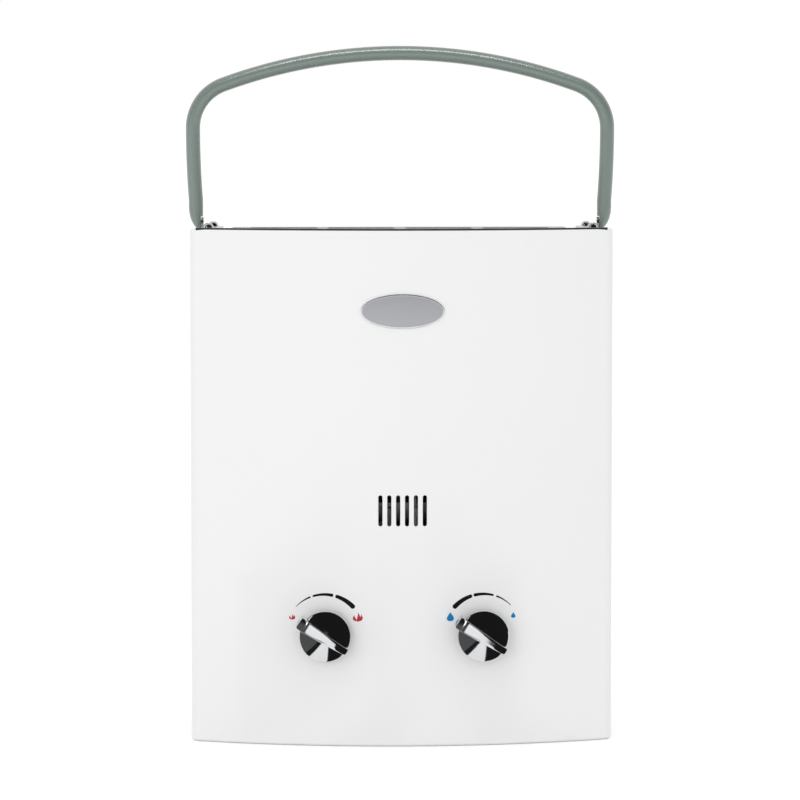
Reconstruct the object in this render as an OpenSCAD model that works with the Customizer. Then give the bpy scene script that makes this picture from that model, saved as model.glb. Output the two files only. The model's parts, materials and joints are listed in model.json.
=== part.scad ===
// Portable propane water heater: a bowed sheet-metal casing with two valve knobs, a carrying bail,
// and inside it a burner, a finned heat exchanger, a linked water and gas valve and pulse ignition.
// X runs to the right as seen from the front, the front faces -Y, Z is up, and the origin lies
// under the middle of the whole heater, on the surface that it stands on.

/* [Casing] */
// Width of the casing
case_w = 290; // [280:1:320]
// Height of the casing
case_h = 354; // [345:1:400]
// Depth of the casing's straight sides, from the back plate to the front corners
side_d = 93; // [90:1:110]
// How far the front bows forward past its corners
bow = 25; // [18:1:32]
// Thickness of the casing's sheet metal
sheet_t = 1.2; // [1:0.1:1.5]
// Radius of the cover's upright front corners
corner_r = 8; // [6:0.5:12]
// Radius of the bend along the cover's lower edge
edge_r = 2; // [1.6:0.1:3]
// Width of the cover's inward lips at the back and underneath
lip_w = 10; // [8:1:12]
// How far the top plate lies below the cover's top edge
top_drop = 5.5; // [4:0.5:7]
// Height of the bottom plate above the surface
skirt_h = 42; // [41:1:50]
// Gap between sheet parts that slide past each other in assembly
sheet_gap = 0.3; // [0.2:0.1:0.6]

/* [Front] */
// Distance between the two knob axes
knob_gap_x = 108; // [104:1:116]
// How far the pair of knobs sits to the right of the middle
knob_shift_x = 1; // [-2:0.5:2]
// Height of the knob axes
knob_z = 77; // [76:1:84]
// Radius of the clearance hole round each knob stem
stem_hole_r = 8; // [7:0.5:10]
// Number of sight slots in the front
slot_n = 6; // [4:1:8]
// Width of a sight slot
slot_w = 2.9; // [2:0.1:3.6]
// Length of a sight slot
slot_l = 21.4; // [14:0.2:26]
// Distance between neighbouring sight slots
slot_pitch = 6.05; // [5:0.05:7]
// Height of the sight slots' middle
slot_z = 162; // [150:1:175]
// Width of the oval badge plate
badge_w = 57; // [40:1:70]
// Height of the oval badge plate
badge_h = 23.5; // [16:0.5:30]
// Thickness of the badge plate
badge_t = 0.9; // [0.6:0.1:1.4]
// Height of the badge plate's middle
badge_z = 298; // [280:1:310]

/* [Knobs] */
// Radius of a knob's skirt
knob_r = 17.6; // [16:0.1:19]
// Height of a knob from its back to the top of its grip
knob_h = 22.3; // [20:0.1:25]
// Height of the knob's domed face at its middle
knob_dome_h = 14.5; // [13:0.1:16]
// Height of the knob's side wall
knob_side_h = 9.5; // [8:0.1:11]
// Gap between a knob's back and the nearest point of the cover
knob_back_gap = 0.8; // [0.6:0.1:1.6]
// Reach of the grip's pointer end from the axis
grip_reach = 21.2; // [19:0.1:23]
// Width of the grip at its pointer end
grip_tip_w = 8.7; // [7:0.1:10]
// Width of the grip at its tail end
grip_tail_w = 4.6; // [4:0.1:6]
// Direction that both pointers show at rest, from the right, turning up
pointer_angle = 147.6; // [140:0.1:155]
// Radius of a valve stem
stem_r = 3; // [2.5:0.1:3.5]
// Radial running gap of pins and stems in their bores
run_gap = 0.05; // [0.02:0.01:0.1]

/* [Carrying bail] */
// Radius of the bail's round rod
bail_r = 5; // [4:0.1:6]
// Height of the bail's crown, at the rod's axis, above the pivots
bail_rise = 118.2; // [100:1:140]
// How far the bail's shoulders lie inside the casing's sides, at the rod's axis
bail_in = 1.1; // [0:0.1:2]
// How far the bail's feet lie inside the casing's sides, at the rod's axis
bail_foot_in = 3; // [2.6:0.1:6]
// Radius of the long arc along the bail's crown, at the rod's axis
crown_r = 357; // [300:1:450]
// Radius of the bail's two shoulders, at the rod's axis
shoulder_r = 32; // [26:1:40]
// Gap between a foot's rounded end and the top plate
foot_gap = 1.3; // [0.8:0.1:2]
// Height of a foot above its pivot, up to the rod's bent part
foot_l = 16; // [14:1:20]
// How far a foot's outer side is rounded in
foot_round = 9.3; // [7:0.1:9.5]
// Length of the rounding of a foot's outer side
foot_round_l = 16.5; // [15.5:0.5:18]
// Radius of the bail's pivot pins
pivot_r = 2.5; // [2:0.1:2.7]
// Reach of a pivot pin into its foot
pivot_reach = 3.5; // [3:0.1:4]
// Distance of the pivots behind the front corners
pivot_back = 46; // [44:1:50]
// Thickness of a pivot bracket's ear
bracket_t = 1.5; // [1.2:0.1:1.8]
// Width of a pivot bracket's ear
ear_w = 9; // [8:0.5:9.5]
// Thickness of a pivot bracket's foot
bracket_base_t = 4; // [3:0.5:4.5]
// Length of a bracket's foot, front to back
bracket_l = 44; // [40:1:50]
// Width of a bracket's foot
bracket_w = 13; // [11:0.5:13]
// Distance between a bracket's two screws
bracket_screw_gap = 29; // [26:1:32]
// How much further in a bracket's rear screw sits than its front one
bracket_screw_step = 2.6; // [0:0.1:3]
// Radius of the bracket screws' domed heads
dome_r = 3.7; // [3:0.1:4]
// Height of the bracket screws' domed heads
dome_h = 3.6; // [2:0.1:3.6]
// Radius of the screws' shanks
screw_r = 1.75; // [1.5:0.05:2]

/* [Flue] */
// Gap between the flue cap's ends and the pivot brackets
flue_end_gap = 0.65; // [0.4:0.05:8]
// Depth of the flue cap, front to back
flue_d = 58; // [50:1:60]
// Height of the flue cap above the top plate
flue_h = 2.6; // [2:0.1:4]
// Run of the flue cap's sloped ends
flue_slope = 7; // [4:0.5:10]
// Distance of the flue's middle in front of the back plate
flue_in = 40; // [38:0.5:44]
// Number of rows of outlet slots in the flue cap
flue_row_n = 6; // [4:1:7]
// Number of outlet slots in each row
flue_col_n = 4; // [3:1:6]

/* [Heat exchanger] */
// Width of the combustion chamber
chamber_w = 170; // [160:1:176]
// Depth of the combustion chamber
chamber_d = 56; // [52:1:58]
// Height of the combustion chamber's lower edge
chamber_z = 165; // [160:1:170]
// Height of the combustion chamber
chamber_h = 104; // [100:1:110]
// Thickness of the copper sheet
copper_t = 1; // [0.8:0.1:1.2]
// Height of the fin block
fin_h = 42; // [38:1:46]
// Number of fins
fin_n = 30; // [20:1:36]
// Thickness of a fin
fin_t = 0.8; // [0.6:0.1:1]
// Radius of the copper water tube
tube_r = 5; // [4.5:0.1:5.5]
// Bend radius of the copper water tube
tube_bend = 9.5; // [9:0.1:9.6]
// Gap between the wrapped tube and the chamber
wrap_gap = 0.4; // [0.3:0.1:0.6]
// Climb of the wrapped tube in one turn
wrap_climb = 24; // [20:1:28]

/* [Burner] */
// Number of burner blades
blade_n = 9; // [7:1:10]
// Distance between neighbouring burner blades
blade_pitch = 17; // [15:0.5:17]
// Width of a burner blade's flame head
blade_head_w = 9; // [8:0.5:10]
// Height of a burner blade, from its mixing tube's axis to its flame ports
blade_h = 44; // [40:1:46]
// Number of flame ports along each blade
port_n = 9; // [6:1:12]
// Radius of a burner jet
jet_r = 2.6; // [2:0.1:3]

/* [Valves and fittings] */
// Width of the gas valve body
gas_body_w = 40; // [36:1:44]
// Width of the water valve body
water_body_w = 44; // [42:1:46]
// Depth of both valve bodies
valve_d = 32; // [28:1:34]
// Height of both valve bodies
valve_h = 38; // [34:1:40]
// Radius of the diaphragm housing
diaphragm_r = 25; // [22:1:26]
// Thickness of each half of the diaphragm housing
diaphragm_case_t = 8; // [6:0.5:10]
// Thickness of the rubber diaphragm
diaphragm_t = 1.5; // [1:0.1:2]
// Radius of the push rod between the water and gas valves
rod_r = 3; // [2.5:0.1:3.5]
// Travel of the push rod
rod_travel = 3; // [2:0.5:3]
// Thickness of the disc that the diaphragm pushes
disc_t = 1.5; // [1:0.1:1.8]
// Outer radius of the hose fittings' spigots
spigot_r = 10.4; // [9:0.1:11]
// Bore radius of the hose fittings
spigot_bore_r = 6.5; // [5:0.1:7.5]
// Length of a hose fitting's spigot below its hexagon
spigot_l = 24; // [18:1:28]
// Distance across the flats of a fitting's hexagon
hex_af = 24; // [23:0.5:26]
// Height of a fitting's hexagon
hex_h = 8; // [6:0.5:10]

/* [Battery box] */
// Length of the battery box, side to side
battery_box_l = 130; // [128:1:136]
// Depth of the battery box, front to back
battery_box_d = 39; // [38:0.5:42]
// Height of the battery box
battery_box_h = 38; // [37:0.5:42]
// Wall of the battery box
battery_wall = 1.6; // [1.2:0.1:2]
// Radius of a battery
battery_r = 16.8; // [16:0.1:17]
// Length of a battery
battery_l = 61.5; // [60:0.1:62]
// Radius of the battery lid's hinge pin
lid_pin_r = 1.2; // [1:0.1:1.5]
// Thickness of the battery lid
lid_t = 2; // [1.6:0.1:2.5]

/* [Hidden] */
$fn = 64;

eps = 0.01;
half_w = case_w / 2;
// The front's bow is one arc through the apex and the two front corners.
bow_r = (half_w * half_w + bow * bow) / (2 * bow);

// Sagitta of the bow: how far the front lies behind its apex at a distance x from the middle.
function bow_drop(x) = bow_r - sqrt(bow_r * bow_r - x * x);

gas_x = knob_shift_x - knob_gap_x / 2;
water_x = knob_shift_x + knob_gap_x / 2;
// The knobs' back plane clears the nearest point of the bowed front under a skirt.
knob_inner_x = min(abs(gas_x), abs(water_x)) - knob_r;
back_head_h = 1.6;
knob_back_from_apex = bow_drop(knob_inner_x) - knob_back_gap;
knob_ahead = knob_h - knob_back_from_apex;
full_d = knob_ahead + bow + side_d + back_head_h;

face_y = -full_d / 2;
apex_y = face_y + knob_ahead;
knob_y = face_y + knob_h;
bow_cy = apex_y + bow_r;
front_corner_y = apex_y + bow;
rear_y = front_corner_y + side_d;
plate_y = rear_y - sheet_t;

top_z = case_h - top_drop;
floor_z = skirt_h + sheet_t;
flue_y = plate_y - flue_in;
pivot_y = front_corner_y + pivot_back;
pivot_z = top_z + foot_gap + bail_r;

// Centre of the upright front corner's arc for an outline set in by some distance.
function corner_at(inset) = max(corner_r - inset, 1);
function corner_x(inset) = half_w - inset - corner_at(inset);
function corner_y(inset) =
  bow_cy - sqrt(pow(bow_r - inset - corner_at(inset), 2) - pow(corner_x(inset), 2));

// Number of steps along the bow and round each front corner.
bow_steps = 48;
corner_steps = 6;

function corner_points(inset, side) =
  let (r = corner_at(inset), cx = corner_x(inset), cy = corner_y(inset), turn = atan2(bow_cy - cy, cx))
  [for (i = [0 : corner_steps])
    let (a = -turn * (side > 0 ? i : corner_steps - i) / corner_steps)
    [side * (cx + r * cos(a)), cy + r * sin(a)]];

function bow_points(inset) =
  let (turn = atan2(bow_cy - corner_y(inset), corner_x(inset)))
  [for (i = [1 : bow_steps - 1])
    let (a = -turn - (180 - 2 * turn) * i / bow_steps)
    [(bow_r - inset) * cos(a), bow_cy + (bow_r - inset) * sin(a)]];

// The casing's outline in plan, set in by a wall or a gap: a bowed front, two rounded corners
// and straight sides that run back to the plate.
module case_outline(inset = 0, back = plate_y) {
  polygon(concat([[half_w - inset, back]], corner_points(inset, 1), bow_points(inset),
    corner_points(inset, -1), [[inset - half_w, back]]));
}

// The casing's outer form: the outline carried up, with its lower edge rolled in by a quarter round.
module case_form() {
  hull() {
    for (a = [0 : 22.5 : 90])
      translate([0, 0, edge_r * (1 - sin(a))]) linear_extrude(eps) case_outline(edge_r * (1 - cos(a)));
    translate([0, 0, case_h - eps]) linear_extrude(eps) case_outline();
  }
}

// A slot with round ends, standing upright.
module slot(w, l) {
  square([w, l - w], center = true);
  for (end = [-1, 1]) translate([0, end * (l - w) / 2]) circle(w / 2);
}

// Places its children on an axis that runs back from the front.
module facing(x, y, z) {
  translate([x, y, z]) rotate([-90, 0, 0]) children();
}

function unit(v) = v / norm(v);

// A path with each corner rounded to one radius, as a list of points with steps to an elbow.
function rounded(path, bend, steps) = [
  for (i = [0 : len(path) - 1])
    if (i == 0 || i == len(path) - 1) path[i]
    else
      let (
        d = unit(path[i] - path[i - 1]),
        e = unit(path[i + 1] - path[i]),
        turn = acos(max(-1, min(1, d * e))),
        m = cross(unit(cross(d, e)), d),
        start = path[i] - d * bend * tan(turn / 2)
      )
      for (k = [0 : steps])
        start + d * bend * sin(turn * k / steps) + m * bend * (1 - cos(turn * k / steps))
];

function tangent(p, i) = unit(p[min(i + 1, len(p) - 1)] - p[max(i - 1, 0)]);

// A direction square to the path at each point, carried along without twisting.
function sides_of(p) = [
  for (
    i = 0, n = unit(cross(tangent(p, 0), [0.3, 0.5, 0.81]));
    i < len(p);
    i = i + 1, n = i < len(p) ? unit(n - (n * tangent(p, i)) * tangent(p, i)) : n
  ) n
];

// Rings of points round a path, one after another.
function ring_points(p, r, sides) =
  let (ns = sides_of(p)) [
    for (i = [0 : len(p) - 1])
      let (n = ns[i], m = cross(tangent(p, i), n))
      for (k = [0 : sides - 1]) p[i] + r * (n * cos(360 * k / sides) + m * sin(360 * k / sides))
  ];

// The triangles between neighbouring rings, facing outwards; first is the first point's number.
function ring_faces(rings, sides, first) = [
  for (i = [0 : rings - 2], k = [0 : sides - 1])
    let (a = first + i * sides + k, b = first + i * sides + (k + 1) % sides)
    each [[a, a + sides, b], [b, a + sides, b + sides]]
];

function flipped(faces) = [for (f = faces) [f[2], f[1], f[0]]];

// One closed tube along a list of points. With a bore it is an open pipe, and else a solid rod.
module swept_tube(p, r, sides, bore = 0) {
  last = (len(p) - 1) * sides;
  n = len(p) * sides;
  outer = ring_faces(len(p), sides, 0);
  if (bore == 0)
    polyhedron(ring_points(p, r, sides), concat(outer,
      [[for (k = [0 : sides - 1]) k]], [[for (k = [sides - 1 : -1 : 0]) last + k]]));
  else
    polyhedron(concat(ring_points(p, r, sides), ring_points(p, bore, sides)), concat(outer,
      flipped(ring_faces(len(p), sides, n)),
      [for (k = [0 : sides - 1]) let (j = (k + 1) % sides) each [[k, j, n + k], [j, n + j, n + k]]],
      [for (k = [0 : sides - 1]) let (j = (k + 1) % sides)
        each [[last + j, last + k, n + last + k], [n + last + j, last + j, n + last + k]]]));
}

// A pan-head screw along +Z: its head lies below the origin and its shank above.
module pan_screw(head_r, head_h, shank_l) {
  rotate_extrude() intersection() {
    translate([0, -head_h]) square([head_r, head_h]);
    translate([0, (head_r * head_r - head_h * head_h) / (2 * head_h)])
      circle((head_r * head_r + head_h * head_h) / (2 * head_h));
  }
  cylinder(h = shank_l, r = screw_r);
}

/* Casing */

cover_screw_x = half_w - lip_w / 2;
cover_screw_z = [28, case_h / 2, case_h - 28];
step_back = 4;

module front_cover() {
  color([0.94, 0.94, 0.94]) difference() {
    case_form();
    translate([0, 0, sheet_t]) linear_extrude(case_h) case_outline(sheet_t, plate_y - sheet_t);
    translate([0, 0, sheet_t]) linear_extrude(case_h)
      translate([lip_w - half_w, 0]) square([case_w - 2 * lip_w, rear_y]);
    // Behind the front corners the sides end level with the top plate.
    translate([-case_w, corner_y(0) + step_back, top_z]) cube([2 * case_w, case_w, case_h]);
    translate([0, 0, -1]) linear_extrude(sheet_t + 2) case_outline(lip_w, rear_y);
    for (x = [gas_x, water_x]) facing(x, apex_y - 1, knob_z) cylinder(h = bow + 2, r = stem_hole_r);
    for (i = [0 : slot_n - 1])
      translate([(i - (slot_n - 1) / 2) * slot_pitch, apex_y + bow / 2, slot_z]) rotate([90, 0, 0])
        linear_extrude(bow) slot(slot_w, slot_l);
    for (side = [-1, 1], z = cover_screw_z)
      facing(side * cover_screw_x, plate_y - sheet_t - 1, z) cylinder(h = sheet_t + 2, r = screw_r);
  }
}

keyhole_x = 90;
keyhole_z = case_h - 26;
keyhole_r = 5;
keyhole_slot_w = 5;
keyhole_rise = 9;

module back_plate() {
  color([0.86, 0.87, 0.87]) difference() {
    translate([-half_w, plate_y, 0]) cube([case_w, sheet_t, top_z]);
    for (side = [-1, 1], z = cover_screw_z)
      facing(side * cover_screw_x, plate_y - 1, z) cylinder(h = sheet_t + 2, r = screw_r + run_gap);
    for (side = [-1, 1]) {
      facing(side * keyhole_x, plate_y - 1, keyhole_z) cylinder(h = sheet_t + 2, r = keyhole_r);
      facing(side * keyhole_x, plate_y - 1, keyhole_z + keyhole_rise)
        cylinder(h = sheet_t + 2, r = keyhole_slot_w / 2);
      translate([side * keyhole_x - keyhole_slot_w / 2, plate_y - 1, keyhole_z])
        cube([keyhole_slot_w, sheet_t + 2, keyhole_rise]);
    }
  }
}

module cover_screws() {
  color([0.75, 0.75, 0.76]) for (side = [-1, 1], z = cover_screw_z)
    translate([side * cover_screw_x, rear_y, z]) rotate([90, 0, 0])
      pan_screw(3.2, back_head_h, 2 * sheet_t + 3);
}

// A plate across the casing that clears the cover all round and bends against the back plate.
module cross_plate(z, bend_up) {
  inset = sheet_t + sheet_gap;
  translate([0, 0, z]) linear_extrude(sheet_t) difference() {
    case_outline(inset, plate_y);
    for (side = [-1, 1]) translate([side * half_w, plate_y])
      square([2 * (lip_w + sheet_gap), 2 * (sheet_t + sheet_gap)], center = true);
  }
  lip_h = 12;
  translate([lip_w + sheet_gap - half_w, plate_y - sheet_t, bend_up ? z : z + sheet_t - lip_h])
    cube([case_w - 2 * (lip_w + sheet_gap), sheet_t, lip_h]);
}

bail_half_w = half_w - bail_in;
bail_foot_half_w = half_w - bail_foot_in;
// Each bracket's foot ends beside the rod, and its ear stands in a recess of the rod's inner side.
bracket_x = bail_foot_half_w - bail_r - sheet_gap;
foot_x = bracket_x + bracket_t + run_gap + sheet_gap;
flue_w = 2 * (bracket_x - bracket_w - flue_end_gap);
flue_hole_w = flue_w - 2 * flue_slope - 12;
flue_hole_d = flue_d - 16;

// Places its children at a bracket's two screws; side is -1 or 1.
module at_bracket_screws(side) {
  for (end = [-1, 1])
    translate([side * (bracket_x - dome_r - (end > 0 ? bracket_screw_step : 0)),
      pivot_y + end * bracket_screw_gap / 2, 0]) children();
}

module top_plate() {
  color([0.93, 0.93, 0.93]) difference() {
    cross_plate(top_z - sheet_t, false);
    translate([-flue_hole_w / 2, flue_y - flue_hole_d / 2, top_z - 2 * sheet_t])
      cube([flue_hole_w, flue_hole_d, 3 * sheet_t]);
    for (side = [-1, 1]) at_bracket_screws(side)
      translate([0, 0, top_z - 2 * sheet_t]) cylinder(h = 3 * sheet_t, r = screw_r);
  }
}

module flue_cap() {
  t = 0.8;
  col_step = (flue_w - 2 * flue_slope - 16) / flue_col_n;
  row_step = flue_hole_d / flue_row_n;
  color([0.68, 0.68, 0.67]) difference() {
    translate([0, flue_y + flue_d / 2, top_z]) rotate([90, 0, 0]) linear_extrude(flue_d)
      polygon([[-flue_w / 2, 0], [flue_w / 2, 0], [flue_w / 2 - flue_slope, flue_h],
        [flue_slope - flue_w / 2, flue_h]]);
    translate([0, flue_y + flue_d / 2 - t, top_z - eps]) rotate([90, 0, 0])
      linear_extrude(flue_d - 2 * t)
        polygon([[3 - flue_w / 2, 0], [flue_w / 2 - 3, 0], [flue_w / 2 - flue_slope - 2, flue_h - t],
          [flue_slope + 2 - flue_w / 2, flue_h - t]]);
    for (col = [0 : flue_col_n - 1], row = [0 : flue_row_n - 1])
      translate([(col - (flue_col_n - 1) / 2) * col_step, flue_y + (row - (flue_row_n - 1) / 2) * row_step,
        top_z]) linear_extrude(flue_h + 1) rotate(90) slot(row_step / 2, col_step - row_step);
  }
}

bottom_holes_r = 11.5;
outlet_x = -chamber_w / 2 - 27;

module bottom_plate() {
  color([0.84, 0.85, 0.85]) difference() {
    cross_plate(skirt_h, true);
    translate([-battery_box_l / 2 + battery_wall, battery_y + battery_wall, skirt_h - 1])
      cube([battery_box_l - 2 * battery_wall, battery_box_d - 2 * battery_wall, sheet_t + 2]);
    for (x = [gas_x, inlet_x, outlet_x])
      translate([x, valve_y, skirt_h - 1]) cylinder(h = sheet_t + 2, r = bottom_holes_r);
    translate([drain_x, valve_y, skirt_h - 1]) cylinder(h = sheet_t + 2, r = drain_r + 1.5);
  }
}

module badge_plate() {
  color([0.69, 0.69, 0.71]) intersection() {
    translate([0, apex_y + bow / 2, badge_z]) rotate([90, 0, 0]) linear_extrude(bow)
      polygon([for (i = [0 : 71]) [badge_w / 2 * cos(i * 5), badge_h / 2 * sin(i * 5)]]);
    translate([0, bow_cy, badge_z - badge_h]) linear_extrude(2 * badge_h) difference() {
      circle(bow_r + badge_t, $fn = 720);
      circle(bow_r, $fn = 720);
    }
  }
}

/* Carrying bail */

// The crown's arc is centred below its top; each shoulder's arc is tangent to it and to the leg.
crown_cz = pivot_z + bail_rise - crown_r;
shoulder_x = bail_half_w - shoulder_r;
shoulder_z = crown_cz + sqrt(pow(crown_r - shoulder_r, 2) - shoulder_x * shoulder_x);
crown_half_angle = asin(shoulder_x / (crown_r - shoulder_r));
// A leg is one shallow arc, upright where it meets the shoulder and drawn in towards the foot.
leg_end_z = pivot_z + foot_l;
leg_drop = shoulder_z - leg_end_z;
leg_draw = bail_half_w - bail_foot_half_w;
leg_arc_r = (leg_drop * leg_drop + leg_draw * leg_draw) / (2 * leg_draw);
leg_angle = asin(leg_drop / leg_arc_r);

// The rod's middle line, from the left foot over the crown to the right foot.
leg_steps = 6;
shoulder_steps = 9;
crown_steps = 22;
leg_line = [for (i = [0 : leg_steps - 1])
  let (a = leg_angle * (1 - i / leg_steps))
  [bail_half_w - leg_arc_r + leg_arc_r * cos(a), shoulder_z - leg_arc_r * sin(a)]];
shoulder_line = [for (i = [0 : shoulder_steps - 1])
  let (a = (90 - crown_half_angle) * i / shoulder_steps)
  [shoulder_x + shoulder_r * cos(a), shoulder_z + shoulder_r * sin(a)]];
right_line = concat(leg_line, shoulder_line);
crown_line = [for (i = [0 : crown_steps])
  let (a = 90 - crown_half_angle + 2 * crown_half_angle * i / crown_steps)
  [crown_r * cos(a), crown_cz + crown_r * sin(a)]];
bail_line = concat(right_line, crown_line,
  [for (i = [len(right_line) - 1 : -1 : 0]) [-right_line[i].x, right_line[i].y]]);

// A foot's outer side at some height above the pivot, and its half depth there.
function foot_out(l) = bail_foot_half_w + bail_r
  - foot_round * (1 - sqrt(1 - pow(max(0, 1 - (l + bail_r + 0.5) / foot_round_l), 2)));
function foot_half_d(l) = sqrt(bail_r * bail_r - pow(min(0, l), 2));

module bail() {
  shoulder_l = ear_w / 2 + 2 * sheet_gap;
  color([0.53, 0.58, 0.55]) {
    swept_tube([for (q = bail_line) [q.x, pivot_y, q.y]], bail_r, 24);
    // The feet: the rod's end is rounded on its outside, recessed for the ear and drilled.
    for (side = [0, 1]) mirror([side, 0, 0]) difference() {
      hull() {
        translate([bail_foot_half_w, pivot_y, leg_end_z]) rotate([0, leg_angle, 0])
          cylinder(h = 1, r = bail_r, $fn = 24);
        for (l = [2.2, 1.6, 1.1, 0.6, 0.2, 0, -0.25, -0.5, -0.7, -0.85, -0.94])
          let (z = l * bail_r, inner = bail_foot_half_w - bail_r, half = (foot_out(z) - inner) / 2)
            translate([inner + half, pivot_y, pivot_z + z]) scale([half, foot_half_d(z), 1])
              cylinder(h = eps, r = 1, $fn = 24);
      }
      translate([bail_foot_half_w - 2 * bail_r, pivot_y - 2 * bail_r, pivot_z - 2 * bail_r])
        cube([foot_x - bail_foot_half_w + 2 * bail_r, 4 * bail_r, 2 * bail_r + shoulder_l]);
      translate([foot_x - 1, pivot_y, pivot_z]) rotate([0, 90, 0])
        cylinder(h = 1 + pivot_reach, r = pivot_r + run_gap);
    }
  }
}

// A bracket: a foot on the top plate and an upright ear that carries the pivot pin.
module bracket() {
  color([0.7, 0.71, 0.72]) difference() {
    union() {
      translate([bracket_x - bracket_w, pivot_y - bracket_l / 2, top_z])
        cube([bracket_w, bracket_l, bracket_base_t]);
      translate([bracket_x - bracket_w, pivot_y - ear_w / 2, top_z])
        cube([bracket_w + bracket_t, ear_w, bracket_base_t]);
      translate([bracket_x, pivot_y - ear_w / 2, top_z]) cube([bracket_t, ear_w, pivot_z - top_z]);
      translate([bracket_x, pivot_y, pivot_z]) rotate([0, 90, 0]) cylinder(h = bracket_t, r = ear_w / 2);
    }
    translate([bracket_x - 1, pivot_y, pivot_z]) rotate([0, 90, 0])
      cylinder(h = bracket_t + 2, r = pivot_r);
    at_bracket_screws(1) translate([0, 0, top_z - 1]) cylinder(h = bracket_base_t + 2, r = screw_r);
  }
}

module left_bracket() { mirror([1, 0, 0]) bracket(); }

module right_bracket() { bracket(); }

// A stub pin stands out of each ear, and the bail's feet are sprung over the two pins.
module bail_pivots() {
  color([0.76, 0.77, 0.78]) for (side = [0, 1]) mirror([side, 0, 0])
    translate([bracket_x, pivot_y, pivot_z]) rotate([0, 90, 0])
      cylinder(h = bracket_t + pivot_reach, r = pivot_r);
}

module bracket_screws() {
  color([0.8, 0.8, 0.81]) for (side = [-1, 1]) at_bracket_screws(side)
    translate([0, 0, top_z + bracket_base_t]) rotate([180, 0, 0])
      pan_screw(dome_r, dome_h, bracket_base_t + sheet_t + 4);
}

/* Knobs */

// A knob seen along its axis: a skirted dome with a raised grip that tapers to its tail.
module knob() {
  edge = 2.5;
  color([0.72, 0.73, 0.74]) difference() {
    union() {
      rotate_extrude() {
        polygon([[0, 0], [knob_r, 0], [knob_r - 0.6, knob_side_h - edge], [knob_r - edge, knob_side_h],
          [0, knob_side_h]]);
        translate([knob_r - 0.6 - edge, knob_side_h - edge]) circle(edge);
        // The dome is a shallow cap on the side wall.
        cap_a = knob_r - edge;
        cap_h = knob_dome_h - knob_side_h;
        cap_r = (cap_a * cap_a + cap_h * cap_h) / (2 * cap_h);
        intersection() {
          translate([0, knob_dome_h - cap_r]) circle(cap_r, $fn = 256);
          translate([0, knob_side_h]) square([cap_a, cap_h]);
        }
      }
      translate([0, 0, knob_side_h - 3]) linear_extrude(knob_h - knob_side_h + 3) hull() {
        for (side = [-1, 1]) {
          translate([grip_reach - 1.5, side * (grip_tip_w / 2 - 1.5)]) circle(1.5, $fn = 24);
          translate([1.2 - knob_r, side * (grip_tail_w / 2 - 1.2)]) circle(1.2, $fn = 24);
        }
      }
    }
    // The moulded part is hollow behind, with a hub for the stem.
    translate([0, 0, -1]) difference() {
      cylinder(h = knob_side_h - 1, r = knob_r - 2.4);
      cylinder(h = knob_side_h, r = stem_r + 2.5);
    }
    translate([0, 0, -1]) cylinder(h = knob_side_h + 2, r = stem_r);
  }
}

module place_knob(x) {
  translate([x, knob_y, knob_z]) rotate([90, 0, 0]) rotate([0, 0, pointer_angle]) children();
}

module gas_knob() { place_knob(gas_x) knob(); }

module water_knob() { place_knob(water_x) knob(); }

/* Linked valves */

valve_y = front_corner_y + 15;
valve_front_y = valve_y - valve_d / 2;
bonnet_l = 8;
inlet_x = water_x + 9;
drain_x = water_x - 14;
drain_r = 6;
gas_right = gas_x + gas_body_w / 2;
water_left = water_x - water_body_w / 2;
poppet_r = 6.5;
poppet_t = 3;
seat_x = gas_x + 10;
stem_in = 10;

// A stem turns in its valve's bonnet and carries the knob on its outer end.
module stem(x) {
  color([0.75, 0.68, 0.45])
    facing(x, knob_y - knob_side_h - 1, knob_z)
      cylinder(h = valve_front_y + stem_in - knob_y + knob_side_h + 1, r = stem_r);
}

module gas_stem() { stem(gas_x); }

module water_stem() { stem(water_x); }

// A cast valve body with a bonnet, bored for its stem from the front.
module valve_body(x, w) {
  translate([x - w / 2, valve_front_y, knob_z - valve_h / 2]) cube([w, valve_d, valve_h]);
  facing(x, valve_front_y - bonnet_l, knob_z) cylinder(h = bonnet_l + 1, r = 10);
}

module gas_valve() {
  neck_l = 12;
  color([0.72, 0.72, 0.7]) difference() {
    union() {
      valve_body(gas_x, gas_body_w);
      translate([gas_right - 1, valve_y, knob_z]) rotate([0, 90, 0]) cylinder(h = neck_l + 1, r = 7);
    }
    facing(gas_x, valve_front_y - bonnet_l - 1, knob_z)
      cylinder(h = bonnet_l + stem_in + 1 + 0.5, r = stem_r + run_gap);
    translate([seat_x - 16, valve_y, knob_z]) rotate([0, 90, 0]) cylinder(h = 16, r = poppet_r + 1);
    translate([seat_x - 1, valve_y, knob_z]) rotate([0, 90, 0])
      cylinder(h = gas_right + neck_l + 2 - seat_x, r = rod_r + run_gap);
    translate([gas_x, valve_y, knob_z - valve_h / 2 - 1]) cylinder(h = valve_h / 2, r = 5);
    translate([gas_x, valve_y, knob_z + 1]) cylinder(h = valve_h / 2, r = 5);
  }
}

module solenoid() {
  coil_l = 26;
  color([0.25, 0.25, 0.27])
    translate([gas_x - gas_body_w / 2 - coil_l, valve_y, knob_z]) rotate([0, 90, 0]) {
      cylinder(h = coil_l, r = 10);
      cylinder(h = 2, r = 12);
      translate([0, 0, coil_l - 3]) cylinder(h = 3, r = 12);
    }
}

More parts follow.
